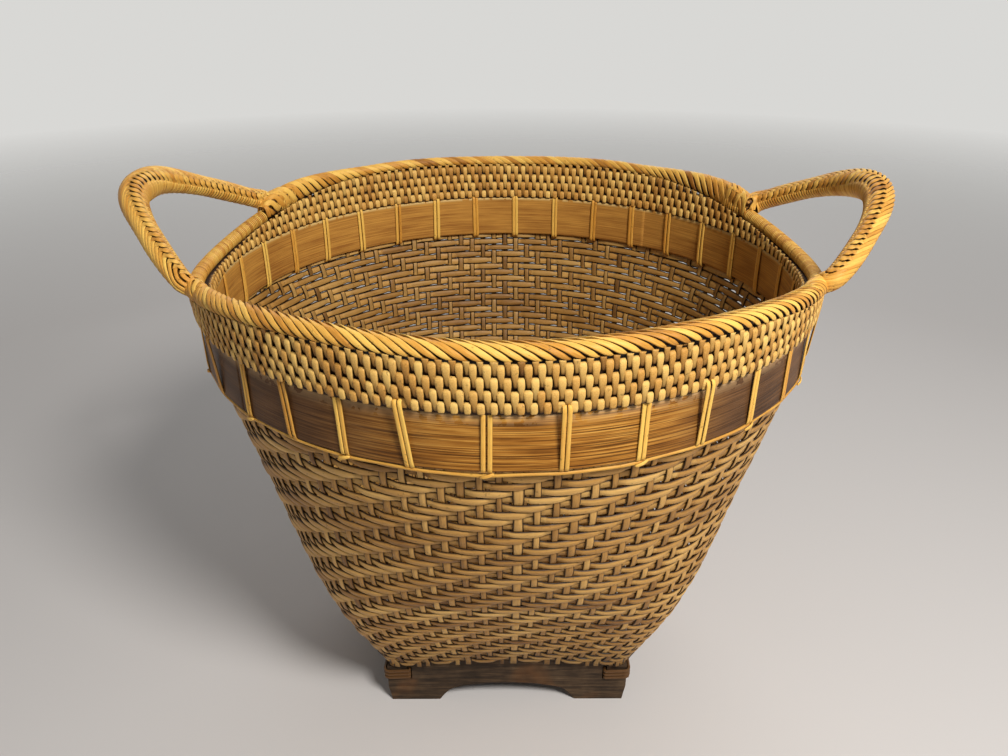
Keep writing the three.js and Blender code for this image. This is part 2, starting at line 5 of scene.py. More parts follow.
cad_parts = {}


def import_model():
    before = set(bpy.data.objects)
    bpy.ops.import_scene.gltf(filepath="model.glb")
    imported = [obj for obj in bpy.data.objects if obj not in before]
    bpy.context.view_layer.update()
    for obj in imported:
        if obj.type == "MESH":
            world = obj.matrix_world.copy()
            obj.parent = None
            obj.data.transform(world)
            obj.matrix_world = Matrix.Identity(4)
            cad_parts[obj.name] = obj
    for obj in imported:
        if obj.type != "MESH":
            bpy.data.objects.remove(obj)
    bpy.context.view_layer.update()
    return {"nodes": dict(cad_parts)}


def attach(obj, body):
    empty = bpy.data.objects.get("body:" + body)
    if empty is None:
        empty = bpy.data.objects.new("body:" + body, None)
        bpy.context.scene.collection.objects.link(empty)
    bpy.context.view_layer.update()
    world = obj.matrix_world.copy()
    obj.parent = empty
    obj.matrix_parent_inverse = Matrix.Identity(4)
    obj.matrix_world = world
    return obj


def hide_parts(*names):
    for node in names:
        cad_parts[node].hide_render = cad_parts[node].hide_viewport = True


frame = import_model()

# Sizes in millimetres. Meshes are scaled to metres when they are made.
MM = 0.001
random = np.random.default_rng(41)

FOOT_HALF = 85.8
BOARD_CORNER = 32.0
BOARD_CROWN = 9.2
WALL_FOOT_HALF = 88.2
WALL_GROWTH = 103.9
WALL_HEIGHT = 235.5
WALL_BELLY = 0.96
WALL_MIDDLE = 1.6
WALL_TOP = 296.0
WEAVE_ABOVE_BOARD = 5.2
HOOP_SEAT = 266.6
RUNNER_HEIGHT = 264.4
OUTER_HOOP_TOP = 297.4
# Radius inside and outside, height of the lower and upper edge
OUTER_HOOP = (192.4, 194.6, 266.0, OUTER_HOOP_TOP)
INNER_HOOP = (185.8, 188.0, 268.6, 300.2)
COLLAR_BOTTOM = 297.9
COLLAR_HEIGHT = 26.6
COLLAR_FLARE = 2.7
COLLAR_LIMIT = 198.0
RIM_RADIUS = 194.0
RIM_HEIGHT = 322.6
RIM_SADDLE = 10.5
RIM_RIPPLE = 3.85
ROLL_RADIUS = 6.2
EDGING_RADIUS = 4.6
ROOT_ANGLE = 31.8
EDGING_HALF_ANGLE = 23.0
LEG_RADIUS = 7.5
CROWN_RADIUS = 10.9
HANDLE_TILT = np.radians(34)
HANDLE_REACH = 64.2
SLIT_PITCH = 4.9
STAKES = 107
ROWS = 44.6
LASHINGS = 34
FRONT = np.radians(270)
# Radius at which lengths round the hoops and the collar are taken
BAND_RADIUS = 195
# How far the stakes in the middle of a side stand apart, against the mean
SPREAD_AT_FOOT = 1.23
SPREAD_AT_MOUTH = 0.856
# How far the first stake stands beside the middle of the front, in stakes
FIRST_STAKE = 0.45


def unit(v):
    return v / np.maximum(np.linalg.norm(v, axis=-1, keepdims=True), 1e-9)


def smoothstep(x, low, high):
    t = np.clip((x - low) / (high - low), 0, 1)
    return t * t * (3 - 2 * t)


def polar(angle, radius, z):
    angle, radius, z = np.broadcast_arrays(angle, radius, z)
    return np.stack([radius * np.cos(angle), radius * np.sin(angle), z], -1)


def outwards(angle):
    return polar(angle, 1.0, 0.0)


def summed(steps):
    """Running sums of steps along the last axis, from zero."""
    return np.concatenate([np.zeros((*steps.shape[:-1], 1)), np.cumsum(steps, axis=-1)], axis=-1)


def lengths(points):
    """Length along a path up to each of its points."""
    return summed(np.linalg.norm(np.diff(points, axis=0), axis=1))


def turned_from(angle, other):
    return np.angle(np.exp(1j * (angle - other)))


def from_side(angle):
    """Degrees round the mouth from the nearer of its left and right ends."""
    return np.degrees(np.abs(np.arctan2(np.sin(angle), np.abs(np.cos(angle)))))


def tones(middle, spread, count, low=0.15, high=0.98):
    return np.clip(random.normal(middle, spread, count), low, high)


def uneven(spread, count):
    return (1 + random.normal(0, spread, count))[:, None]


# The forms that carry the strands
def wall_share(z):
    return np.clip((z - BOARD_CORNER) / WALL_HEIGHT, 0, 1)


def wall_radius(angle, z):
    u = wall_share(z)
    half = WALL_FOOT_HALF + WALL_GROWTH * (u + WALL_BELLY * u ** 2 * (1 - u) ** 1.3)
    power = 2 + 10 * (1 - u) ** 3.8
    c = np.abs(np.cos(angle)) + 1e-9
    s = np.abs(np.sin(angle)) + 1e-9
    round_square = half / (c ** power + s ** power) ** (1 / power)
    return round_square + COLLAR_FLARE * np.maximum(z - WALL_TOP, 0) / COLLAR_HEIGHT


def rim_height(angle):
    return RIM_HEIGHT - RIM_SADDLE * np.cos(2 * angle) - RIM_RIPPLE * np.cos(4 * angle)


def rim_frame(angle):
    centre = polar(angle, RIM_RADIUS, rim_height(angle))
    slope = 2 * RIM_SADDLE * np.sin(2 * angle) + 4 * RIM_RIPPLE * np.sin(4 * angle)
    ahead = unit(np.stack([-RIM_RADIUS * np.sin(angle), RIM_RADIUS * np.cos(angle), slope], -1))
    out = outwards(angle)
    return centre, out, np.cross(out, ahead)


def round_tube(frame_at, turn, radius):
    """Points round a tube, by their turn from its top, and the directions in which they stand."""
    centre, out, up = frame_at
    direction = up * np.cos(turn)[..., None] + out * np.sin(turn)[..., None]
    return centre + direction * np.asarray(radius)[..., None], direction


def on_rim(angle, turn, radius):
    return round_tube(rim_frame(angle), turn, radius)


def rim_seat(angle):
    blend = smoothstep(from_side(angle), 17.7, ROOT_ANGLE)
    return EDGING_RADIUS + (ROLL_RADIUS - EDGING_RADIUS) * blend


# Where each stake of the wall runs, worked out once over a quarter of the wall: heights, places from
# -1 to 1 across the quarter, and shares of the way from the foot to the hoop
Z_LEVELS = np.linspace(28, 312, 143)
S_LEVELS = np.linspace(-1, 1, 161)
W_LEVELS = np.linspace(0, 1.17, 201)


def lookup(table, rows, columns, row, column):
    row, column = np.broadcast_arrays(row, column)
    r = np.clip((row - rows[0]) / (rows[1] - rows[0]), 0, len(rows) - 1.001)
    c = np.clip((column - columns[0]) / (columns[1] - columns[0]), 0, len(columns) - 1.001)
    i, j = r.astype(int), c.astype(int)
    fr, fc = r - i, c - j
    low = table[i, j] * (1 - fc) + table[i, j + 1] * fc
    high = table[i + 1, j] * (1 - fc) + table[i + 1, j + 1] * fc
    return low * (1 - fr) + high * fr


def stake_angles():
    beta = np.linspace(-np.pi / 4, np.pi / 4, 361)
    table = []
    for z in Z_LEVELS:
        u = wall_share(z)
        a = SPREAD_AT_FOOT + (SPREAD_AT_MOUTH - SPREAD_AT_FOOT) * u
        ring = polar(beta, wall_radius(beta, z), 0.0)
        share = lengths(ring)
        share = share / share[-1] * 2 - 1
        table.append(np.interp(a * S_LEVELS + (1 - a) * S_LEVELS ** 3, share, beta))
    return np.array(table)


ANGLES = stake_angles()


def foot_height(angle, z):
    ring = wall_radius(angle, z)
    across = np.minimum(np.abs(ring * np.cos(angle)), np.abs(ring * np.sin(angle)))
    return BOARD_CORNER + WEAVE_ABOVE_BOARD + BOARD_CROWN * (1 - np.minimum(across / FOOT_HALF, 1) ** 2)


def stake_heights():
    table = np.empty((len(S_LEVELS), len(W_LEVELS)))
    for i in range(len(S_LEVELS)):
        angle = ANGLES[:, i]
        start = foot_height(np.interp(36, Z_LEVELS, angle), 36.0)
        z = np.linspace(start, Z_LEVELS[-1], 400)
        path = outwards(np.interp(z, Z_LEVELS, angle))
        path = path * wall_radius(np.arctan2(path[:, 1], path[:, 0]), z)[:, None]
        path[:, 2] = z
        length = lengths(path)
        at_hoop = np.interp(HOOP_SEAT, z, length)
        table[i] = np.interp(W_LEVELS * at_hoop, length, z)
    return table


HEIGHTS = stake_heights()


def wall_middle(j, v):
    """The middle of the wall's thickness at stake j and row v."""
    j = j - FIRST_STAKE
    quarter = np.round(j / (STAKES / 4))
    s = 2 * (j / (STAKES / 4) - quarter)
    z = lookup(HEIGHTS, S_LEVELS, W_LEVELS, s, v / ROWS)
    angle = FRONT + quarter * np.pi / 2 + lookup(ANGLES, Z_LEVELS, S_LEVELS, z, s)
    return polar(angle, wall_radius(angle, z) - WALL_MIDDLE, z)


def on_wall(j, v, lift):
    step = 0.12
    centre = wall_middle(j, v)
    across = wall_middle(j + step, v) - wall_middle(j - step, v)
    low = np.maximum(v - step, 0)
    rise = wall_middle(j, low + 2 * step) - wall_middle(j, low)
    out = unit(np.cross(across, rise))
    return centre + out * np.asarray(lift)[..., None], out


# Strands: flat or round strips that follow paths, many in one mesh
STRIP = np.array([(1, -0.15), (0.62, 0.8), (-0.62, 0.8), (-1, -0.15), (-0.6, -0.9), (0.6, -0.9)])
FLAT = np.array([(1, -0.3), (0.86, 0.55), (0.45, 0.95), (-0.45, 0.95), (-0.86, 0.55), (-1, -0.3),
                 (-0.6, -0.9), (0.6, -0.9)])
OCTAGON = np.array([(np.cos(a), np.sin(a)) for a in np.radians(np.arange(0, 360, 45))])
HEXAGON = np.array([(np.cos(a), np.sin(a)) for a in np.radians(np.arange(0, 360, 60))])


def placed(name, data):
    item = bpy.data.objects.new(name, data)
    bpy.context.scene.collection.objects.link(item)
    return item


class Strands:
    """One mesh of many strips, with their tone, length, width, wearing and painted shade, and sunk edges
    kept on its points.
    """

    def __init__(self):
        self.points = []
        self.loops = []
        self.sizes = []
        self.marks = {"tone": [], "along": [], "across": [], "wear": [], "sunk": []}
        self.count = 0

    def add(self, path, out, width, thick, section=STRIP, tone=0.5, wear=0.0, closed=False):
        if path.ndim == 2:
            path = path[None]
        strips, length, _ = path.shape
        corners = len(section)
        out = np.broadcast_to(out, path.shape)
        if closed:
            ahead = np.roll(path, -1, axis=1) - np.roll(path, 1, axis=1)
        else:
            ahead = np.gradient(path, axis=1)
        ahead = unit(ahead)
        side = unit(np.cross(out, ahead))
        up = np.cross(ahead, side)
        width = np.broadcast_to(width, (strips, length))
        thick = np.broadcast_to(thick, (strips, length))
        sideways = side[:, :, None] * (width[..., None] * section[:, 0])[..., None]
        upward = up[:, :, None] * (thick[..., None] * section[:, 1])[..., None]
        points = path[:, :, None] + sideways + upward
        ids = self.count + np.arange(strips * length * corners).reshape(strips, length, corners)
        turned = np.roll(ids, -1, axis=2)
        if closed:
            quads = np.stack([ids, turned, np.roll(turned, -1, axis=1), np.roll(ids, -1, axis=1)], -1)
        else:
            quads = np.stack([ids[:, :-1], turned[:, :-1], turned[:, 1:], ids[:, 1:]], -1)
            self.loops.append(ids[:, 0, ::-1].ravel())
            self.loops.append(ids[:, -1].ravel())
            self.sizes.append(np.full(2 * strips, corners))
        self.loops.append(quads.ravel())
        self.sizes.append(np.full(quads.size // 4, 4))
        along = summed(np.linalg.norm(np.diff(path, axis=1), axis=2))
        tone, wear = (np.asarray(mark, float) for mark in (tone, wear))
        tone, wear = (mark[:, None] if mark.ndim == 1 else np.atleast_2d(mark) for mark in (tone, wear))
        # Where painted shade falls on each strip: its lower edges, which lie against what is under it
        sunk = np.abs(section[:, 0]) ** 6 * (section[:, 1] < 0.3)
        self.points.append(points.reshape(-1, 3))
        values = {"tone": tone[..., None], "wear": wear[..., None], "along": along[..., None],
                  "across": section[:, 0], "sunk": sunk}
        for mark, value in values.items():
            self.marks[mark].append(np.broadcast_to(value, (strips, length, corners)).ravel())
        self.count += strips * length * corners

    def make(self, name, material, slot, *nodes):
        mesh = bpy.data.meshes.new(name)
        points = np.concatenate(self.points) * MM
        loops = np.concatenate(self.loops)
        sizes = np.concatenate(self.sizes)
        mesh.vertices.add(len(points))
        mesh.vertices.foreach_set("co", points.astype(np.float32).ravel())
        mesh.loops.add(len(loops))
        mesh.loops.foreach_set("vertex_index", loops.astype(np.int32))
        mesh.polygons.add(len(sizes))
        starts = np.concatenate([[0], np.cumsum(sizes)[:-1]])
        mesh.polygons.foreach_set("loop_start", starts.astype(np.int32))
        mesh.update(calc_edges=True)
        mesh.polygons.foreach_set("use_smooth", np.ones(len(sizes), bool))
        for mark, values in self.marks.items():
            layer = mesh.attributes.new(mark, "FLOAT", "POINT")
            layer.data.foreach_set("value", np.concatenate(values).astype(np.float32))
        mesh.validate()
        piece = placed(name, mesh)
        mesh.materials.append(material)
        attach(piece, "root")
        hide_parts(*nodes)
        return piece


# Materials
def srgb(red, green, blue):
    values = np.array([red, green, blue]) / 255
    linear = np.where(values <= 0.04045, values / 12.92, ((values + 0.055) / 1.055) ** 2.4)
    return (*[float(v) for v in linear], 1.0)


class Nodes:
    def __init__(self, name):
        self.material = bpy.data.materials.new(name)
        self.material.use_nodes = True
        self.tree = self.material.node_tree
        self.shader = self.tree.nodes["Principled BSDF"]

    def new(self, kind, **values):
        node = self.tree.nodes.new(kind)
        for key, value in values.items():
            setattr(node, key, value)
        return node

    def link(self, source, target):
        self.tree.links.new(source, target)

    def mark(self, name):
        return self.new("ShaderNodeAttribute", attribute_name=name).outputs["Fac"]

    def stretch(self, *scaled):
        """A vector of marks, each times its own scale."""
        node = self.new("ShaderNodeCombineXYZ")
        for target, (value, scale) in zip(node.inputs, scaled):
            self.link(self.math("MULTIPLY", value, scale), target)
        return node.outputs[0]

    def above(self, value, middle, gain, clamp=False):
        """How far a value is above the middle, times the gain."""
        return self.math("MULTIPLY", self.math("SUBTRACT", value, middle), gain, clamp)

    def math(self, operation, first, second=0.0, clamp=False):
        node = self.new("ShaderNodeMath", operation=operation, use_clamp=clamp)
        for socket, value in zip(node.inputs, (first, second)):
            if isinstance(value, (int, float)):
                socket.default_value = value
            else:
                self.link(value, socket)
        return node.outputs[0]

    def noise(self, vector, scale, detail=3.0, rough=0.55):
        node = self.new("ShaderNodeTexNoise")
        node.inputs["Scale"].default_value = scale
        node.inputs["Detail"].default_value = detail
        node.inputs["Roughness"].default_value = rough
        self.link(vector, node.inputs["Vector"])
        return node.outputs["Fac"]

    def ramp(self, value, *stops):
        node = self.new("ShaderNodeValToRGB")
        elements = node.color_ramp.elements
        while len(elements) < len(stops):
            elements.new(0.5)
        for element, (position, colour) in zip(elements, stops):
            element.position = position
            element.color = colour
        self.link(value, node.inputs["Fac"])
        return node.outputs["Color"]

    def mix(self, share, first, second):
        node = self.new("ShaderNodeMix", data_type="RGBA")
        colours = [socket for socket in node.inputs if socket.type == "RGBA"]
        for socket, value in zip([node.inputs["Factor"]] + colours, (share, first, second)):
            if isinstance(value, (float, tuple)):
                socket.default_value = value
            else:
                self.link(value, socket)
        return next(socket for socket in node.outputs if socket.type == "RGBA")

    def place(self):
        return self.new("ShaderNodeTexCoord").outputs["Object"]

    def finish(self, colour, rough, specular, height, distance, strength):
        """Links the shader's sockets, with the height as a fine bump."""
        node = self.new("ShaderNodeBump")
        node.inputs["Strength"].default_value = strength
        node.inputs["Distance"].default_value = distance
        self.link(height, node.inputs["Height"])
        self.link(node.outputs["Normal"], self.shader.inputs["Normal"])
        self.link(colour, self.shader.inputs["Base Color"])
        self.link(rough, self.shader.inputs["Roughness"])
        self.shader.inputs["Specular IOR Level"].default_value = specular
        return self.material


def cane(name, pale, middle, deep, fleck_and_shade, matt=0.35, spread=0.5, edge_shade=0.8):
    """Split cane: fibres along each strip, its own tone, stains over the object, dark flecks, and painted
    shade with some soiling where its points are marked and along its sunk edges.
    """
    n = Nodes(name)
    pale, middle, deep, fleck_and_shade = (srgb(*colour) for colour in (pale, middle, deep, fleck_and_shade))
    along, across, tone, wear, sunk = (n.mark(k) for k in ("along", "across", "tone", "wear", "sunk"))
    fibre = n.noise(n.stretch((along, 0.05), (across, 1.15), (tone, 61.0)), 2.2, 4.0, 0.6)
    place = n.place()
    stain = n.noise(place, 14.0, 4.0, 0.6)
    value = n.math("ADD", tone, n.above(fibre, 0.5, spread))
    value = n.math("ADD", value, n.above(stain, 0.5, 0.45))
    colour = n.ramp(value, (0.05, deep), (0.45, middle), (0.85, pale))
    fleck = n.math("GREATER_THAN", n.noise(place, 420.0, 2.0, 0.5), 0.69)
    colour = n.mix(n.math("MULTIPLY", fleck, 0.35), colour, fleck_and_shade)
    # Painted shade, with a little soiling, from the points' marks and the strips' sunk edges, mixed towards
    # the dark colour
    dirt_and_shade = n.math("ADD", wear, n.math("MULTIPLY", sunk, edge_shade))
    dirt_and_shade_mix = n.math("MULTIPLY", dirt_and_shade, n.math("ADD", n.noise(place, 60.0, 3.0), 0.6), clamp=True)
    colour = n.mix(dirt_and_shade_mix, colour, fleck_and_shade)
    rough = n.math("ADD", n.math("MULTIPLY", fibre, 0.3), matt)
    return n.finish(colour, rough, 0.3, fibre, 0.0005, 0.5)


# The last colour of each cane is that of its dark flecks and of its painted shade
golden_cane = cane("golden_cane", (246, 198, 96), (216, 152, 60), (142, 88, 30), (50, 25, 4), spread=0.7)
collar_cane = cane("collar_cane", (240, 196, 110), (206, 150, 70), (126, 80, 32), (46, 22, 3), spread=0.6)
aged_cane = cane("aged_cane", (228, 182, 106), (190, 140, 70), (120, 76, 30), (38, 19, 2), edge_shade=1.3)
stake_cane = cane("stake_cane", (220, 174, 100), (182, 134, 68), (116, 76, 32), (36, 18, 3), edge_shade=1.3)
corner_cane = cane("corner_cane", (198, 154, 96), (150, 108, 62), (92, 62, 32), (40, 24, 10), spread=0.9)
# Dark cane for the cores under the strips: its colour is painted shade, where they lie covered or show
# through gaps
painted_shade_cane = cane("painted_shade_cane", (84, 56, 26), (58, 36, 16), (36, 22, 10), (22, 13, 6), matt=0.5)


def bamboo(name, pale, middle, deep, dark, edge, aged_dark, aged_pale):
    """A bamboo strip: fine straight grain round the hoop, a worn pale edge painted paler still as light
    under the collar's shadow, darker where it has aged.
    """
    n = Nodes(name)
    pale, middle, deep, dark, edge = (srgb(*colour) for colour in (pale, middle, deep, dark, edge))
    along, across, tone, wear = (n.mark(k) for k in ("along", "across", "tone", "wear"))
    grain = n.noise(n.stretch((along, 0.008), (across, 11.0)), 1.6, 3.0, 0.7)
    band = n.noise(n.stretch((along, 0.02), (across, 1.8)), 1.1, 3.0)
    value = n.math("ADD", grain, n.above(band, 0.5, 0.6))
    height = n.math("MULTIPLY", n.math("ADD", across, 1.0), 0.06)
    value = n.math("ADD", n.math("SUBTRACT", value, 0.05), height)
    colour = n.ramp(value, (0.24, dark), (0.38, deep), (0.52, middle), (0.7, pale))
    line = n.math("SUBTRACT", 0.43, n.noise(n.stretch((along, 0.011), (across, 14.0)), 1.6, 0.0, 0.5))
    colour = n.mix(n.math("MULTIPLY", n.math("MULTIPLY", line, 12.0, clamp=True), 0.75), colour, dark)
    aged = n.ramp(value, (0.3, srgb(*aged_dark)), (0.7, srgb(*aged_pale)))
    colour = n.mix(n.math("MULTIPLY", tone, 1.0, clamp=True), colour, aged)
    chip = n.noise(n.place(), 210.0, 3.0)
    # The worn pale band at the top, partly real wear and partly painted light against the collar's shadow
    worn_and_lit = n.math("MULTIPLY", wear, n.math("GREATER_THAN", chip, 0.42), clamp=True)
    colour = n.mix(worn_and_lit, colour, edge)
    rough = n.math("ADD", n.math("MULTIPLY", grain, 0.3), 0.27)
    return n.finish(colour, rough, 0.14, grain, 0.0004, 0.45)


dark_bamboo = bamboo("dark_bamboo", (214, 158, 74), (172, 114, 42), (138, 86, 28), (62, 34, 8),
                     (198, 162, 116), (62, 38, 18), (118, 82, 50))
golden_bamboo = bamboo("golden_bamboo", (226, 168, 74), (196, 136, 54), (160, 104, 40), (96, 60, 26),
                       (214, 178, 112), (150, 98, 44), (206, 150, 70))


def old_wood(name):
    """Weathered board: long grain, dark stains, a few warm rubbed patches."""
    n = Nodes(name)
    place = n.place()
    scale = n.new("ShaderNodeMapping")
    scale.inputs["Scale"].default_value = (14, 14, 190)
    n.link(place, scale.inputs["Vector"])
    grain = n.noise(scale.outputs["Vector"], 1.7, 5.0, 0.65)
    stain = n.noise(place, 26.0, 4.0, 0.6)
    value = n.math("ADD", n.math("MULTIPLY", grain, 0.9), n.above(stain, 0.5, 0.7))
    colour = n.ramp(value, (0.2, srgb(27, 20, 14)), (0.42, srgb(60, 46, 33)), (0.58, srgb(88, 69, 50)),
                    (0.8, srgb(126, 104, 80)))
    warm = n.above(n.noise(place, 33.0, 2.0), 0.56, 5.0, clamp=True)
    colour = n.mix(n.math("MULTIPLY", warm, 0.35), colour, srgb(132, 84, 42))
    stained = n.above(n.noise(place, 21.0, 3.0), 0.54, 6.0, clamp=True)
    colour = n.mix(n.math("MULTIPLY", stained, 0.6), colour, srgb(30, 23, 18))
    rough = n.math("ADD", n.math("MULTIPLY", grain, 0.25), 0.6)
    return n.finish(colour, rough, 0.2, grain, 0.0012, 0.7)


weathered_wood = old_wood("weathered_wood")


# The wall: stakes that stand up, and one weaver that climbs round them over two and under two
def twill(phase):
    wave = np.cos(2 * np.pi * phase / 4)
    return np.tanh(1.7 * wave) / np.tanh(1.7)


# How far the pattern of the twill is moved round the wall, in stakes
TWILL_SHIFT = 2.5
# Half widths of the stakes near the middle of the front. The others are drawn at random.
STAKE_HALF = {-3: 2.4, -2: 2.2, -1: 2.05, 0: 1.75, 1: 2.9, 2: 2.0, 3: 2.05, 4: 2.6, 5: 2.4}


def wall_stakes():
    strands = Strands()
    j = np.arange(STAKES)
    j = np.where(j > STAKES / 2, j - STAKES, j)
    v = np.arange(-0.3, ROWS * 1.15, 0.42)
    lanes, heights = np.meshgrid(j, v, indexing="ij")
    share = 1 - smoothstep(heights, ROWS + 0.5, ROWS + 2)
    phase = (heights - lanes / STAKES) - lanes + TWILL_SHIFT
    lift = -0.68 * twill(phase) * share
    path, out = on_wall(lanes.astype(float), np.maximum(heights, -0.2), lift)
    path[:, 0, 2] -= 3.2
    width = np.array([STAKE_HALF.get(lane, random.uniform(1.9, 2.5)) for lane in j.tolist()])
    sway = 1 + 0.08 * np.sin(heights * 0.9 + lanes * 2.1)
    tone = tones(0.5, 0.16, STAKES, 0.1, 0.95)
    # Darker towards the foot, and painted shade where the stakes pass under the weaver
    low = 0.35 * (1 - smoothstep(heights, 0, 7))
    under_weaver_shade = 0.3 * smoothstep(twill(phase), 0, 0.8)
    strands.add(path, out, width[:, None] * sway, 0.66, tone=tone[:, None] - 0.2 * low, wear=low + under_weaver_shade)
    strands.make("wall_stakes", stake_cane, "aged_cane", "body_weave")


def wall_weaver():
    strands = Strands()
    per_stake = 7
    turns = int(ROWS * STAKES)
    t = np.arange(-0.2 * STAKES, turns + 0.6 * STAKES, 1 / per_stake)
    index = np.floor((t + TWILL_SHIFT) / 4).astype(int)
    own = random.normal(0, 1, (6, index.max() - index.min() + 2))
    own = own[:, index - index.min()]
    p = np.mod(t + TWILL_SHIFT, 4)
    half = np.interp(p, [0, 0.35, 0.9, 1.25, 1.6, 1.95, 2.3, 2.9, 3.6, 4],
                     [2.5, 2.75, 2.95, 3.1, 2.7, 2.0, 2.6, 2.9, 2.85, 2.5])
    half = half * (1 + 0.045 * own[0])
    bow = np.sin(np.pi * np.clip(p / 2, 0, 1))
    dip = -0.035 * bow * (1 + 0.3 * own[1])
    lift = 0.95 * twill(t + (TWILL_SHIFT - 1)) + 0.12 * own[2] * bow
    j = np.mod(t + STAKES / 2, STAKES) - STAKES / 2
    v = t / STAKES + dip + 0.018 * own[3] * np.sin(np.pi * p / 2)
    splice = np.cumsum(random.uniform(160, 420, 40)) - 40
    strip = np.searchsorted(splice, t)
    strip_tone = random.normal(0.5, 0.13, 42)[strip]
    tone = np.clip(strip_tone + 0.07 * own[4], 0.05, 0.98)
    path, out = on_wall(j, np.maximum(v, 0.02), lift)
    low = 0.3 * (1 - smoothstep(v, 0, 8))
    # Painted shade on the stretches under the stakes, a little soiling elsewhere, darker towards the foot
    wear = np.where((p > 1.9) & (p < 3.9), 0.2, 0.03) + low
    rise = smoothstep(v, ROWS * 0.55, ROWS)
    strands.add(path, out, half, 0.95, tone=(tone + 0.1 * rise - 0.05)[None], wear=wear[None])
    strands.make("wall_weaver", aged_cane, "aged_cane", "body_weave")


# The floor: flat strips both ways, crowned like the boards, with their ends turned up inside the wall
FLOOR_HALF = 86


def floor_strips():
    strands = Strands()
    pitch = 7.9
    lanes = np.arange(-10, 11) * pitch
    run = np.linspace(-97, 97, 90)
    for way in (0, 1):
        across, length = np.meshgrid(lanes, run, indexing="ij")
        turned_up = np.maximum(np.abs(length) - FLOOR_HALF, 0)
        along = np.sign(length) * (np.minimum(np.abs(length), FLOOR_HALF) + 0.55 * turned_up)
        x, y = (along, across) if way == 0 else (across, along)
        sx = np.minimum(np.abs(x) / FOOT_HALF, 1)
        sy = np.minimum(np.abs(y) / FOOT_HALF, 1)
        z = BOARD_CORNER + 0.3 + BOARD_CROWN * (1 - sx ** 2 * sy ** 2) + 1.8
        phase = length / pitch - across / pitch * (1 if way == 0 else -1)
        lift = 0.8 * twill(phase + (0.5 if way == 0 else 2.5))
        path = np.stack([x, y, z + lift + 0.84 * turned_up * smoothstep(turned_up, 0, 3)], -1)
        tone = tones(0.42, 0.12, len(lanes), 0.1, 0.9)
        strands.add(path, np.array([0, 0, 1.0]), 3.78, 0.65, tone=tone, wear=0.15)
    strands.make("floor_strips", stake_cane, "aged_cane", "floor_weave")


# Hoops: sprung bamboo strips, each with its two thinned ends lapped
def hoop(name, measures, splice, material, slot, node):
    inside, outside, bottom, top = measures
    count = 420
    extra = 7
    lap = np.arange(-extra, count + extra + 1)
    angle = np.radians(splice + lap * 360 / count)
    middle = (inside + outside) / 2
    thick = (outside - inside) / 2
    ends = 0.5 - 0.5 * smoothstep(lap, -extra, extra)
    starts = 0.5 * smoothstep(lap, count - extra, count + extra)
    shift = -ends + starts
    half_thick = thick * (1 - np.abs(shift)) * 0.96
    radius = middle + shift * thick
    tall = (top - bottom) / 2
    bevel = 0.5
    # Places across the strip's face, closer together where its edge is worn
    rows = np.array([-1, -0.92, -0.6, -0.3, 0, 0.3, 0.6, 0.8, 0.88, 0.92, 0.96, 1])
    low = 1 - bevel / tall
    ring = [(r * low, 1.0) for r in rows] + [(1, 0.45), (1, -0.45)]
    ring += [(-r * low, -1.0) for r in rows] + [(-1, -0.45), (-1, 0.45)]
    ring = np.array(ring)
    strands = Strands()
    wobble = 0.12 * np.sin(angle * 7) + 0.1 * np.sin(angle * 17 + 1)
    path = polar(angle, radius + wobble * 0.4, (top + bottom) / 2)
    from_front = np.degrees(turned_from(angle, FRONT))
    side_age = smoothstep(from_front, 19, 37) + smoothstep(-from_front, 2, 34)
    section = ring[::-1] * np.array([-1, 1])
    strands.add(path, outwards(angle), tall, half_thick, section=section, tone=side_age[None])
    height = strands.points[0][:, 2]
    # Worn band along the top edge, also painted paler as light where the collar shades it
    strands.marks["wear"] = [smoothstep(-np.abs(height - top), -2.4, -0.9)]
    strands.marks["across"] = [(height - bottom) / (top - bottom) * 2 - 1]
    strands.make(name, material, slot, node)


# Lashings: two strands each, round both hoops and through the wall above and below them
def smooth_loop(points, count):
    points = np.asarray(points, float)
    for _ in range(2):
        following = np.roll(points, -1, axis=0)
        cut = [points * 0.75 + following * 0.25, points * 0.25 + following * 0.75]
        points = np.stack(cut, 1).reshape(-1, 2)
    closed = np.vstack([points, points[:1]])
    length = lengths(closed)
    at = np.linspace(0, length[-1], count, endpoint=False)
    return np.stack([np.interp(at, length, closed[:, k]) for k in range(2)], 1)


# How far each front lashing reaches over the collar, in mm. The others are drawn at random.
LASHING_REACH = {0: 0.1, 1: 4.6, 2: 0.1, 3: 5.2, 4: 0.6, 30: 0.1, 31: 0.6, 32: 0.1, 33: 5.2}
# How far they were tied from an even spacing, in mm, and how they lean, in mm per mm of height
LASHING_SHIFT = {0: -1.0, 2: 3.6, 3: 2.2, 4: 3.4, 5: 3.8, 31: -0.9, 32: -2.6, 33: -4.2}
LASHING_LEAN = {2: 0.03, 31: -0.05, 32: -0.04, 33: -0.09}
LASHING_ANGLES = np.radians(267.35) + np.array(
    [k * 2 * np.pi / LASHINGS + LASHING_SHIFT.get(k, 0) / BAND_RADIUS for k in range(LASHINGS)])
LASHING_TOPS = OUTER_HOOP_TOP + 0.7 + np.array(
    [LASHING_REACH.get(k, random.choice([0.1, 0.6, 2.5, 4.5])) for k in range(LASHINGS)])


def held_down(angle, z):
    """Share by which lashings that pass over the collar press its stitches down."""
    leans = np.array([LASHING_LEAN.get(k, 0) * 20 / BAND_RADIUS for k in range(LASHINGS)])
    away = np.abs(turned_from(angle[..., None], LASHING_ANGLES + leans)) * COLLAR_LIMIT
    below = smoothstep(LASHING_TOPS + 1.6 - z[..., None], 0, 1.2) * (LASHING_TOPS > 299)
    return np.max(smoothstep(-away, -3.6, -2.4) * below, axis=-1)


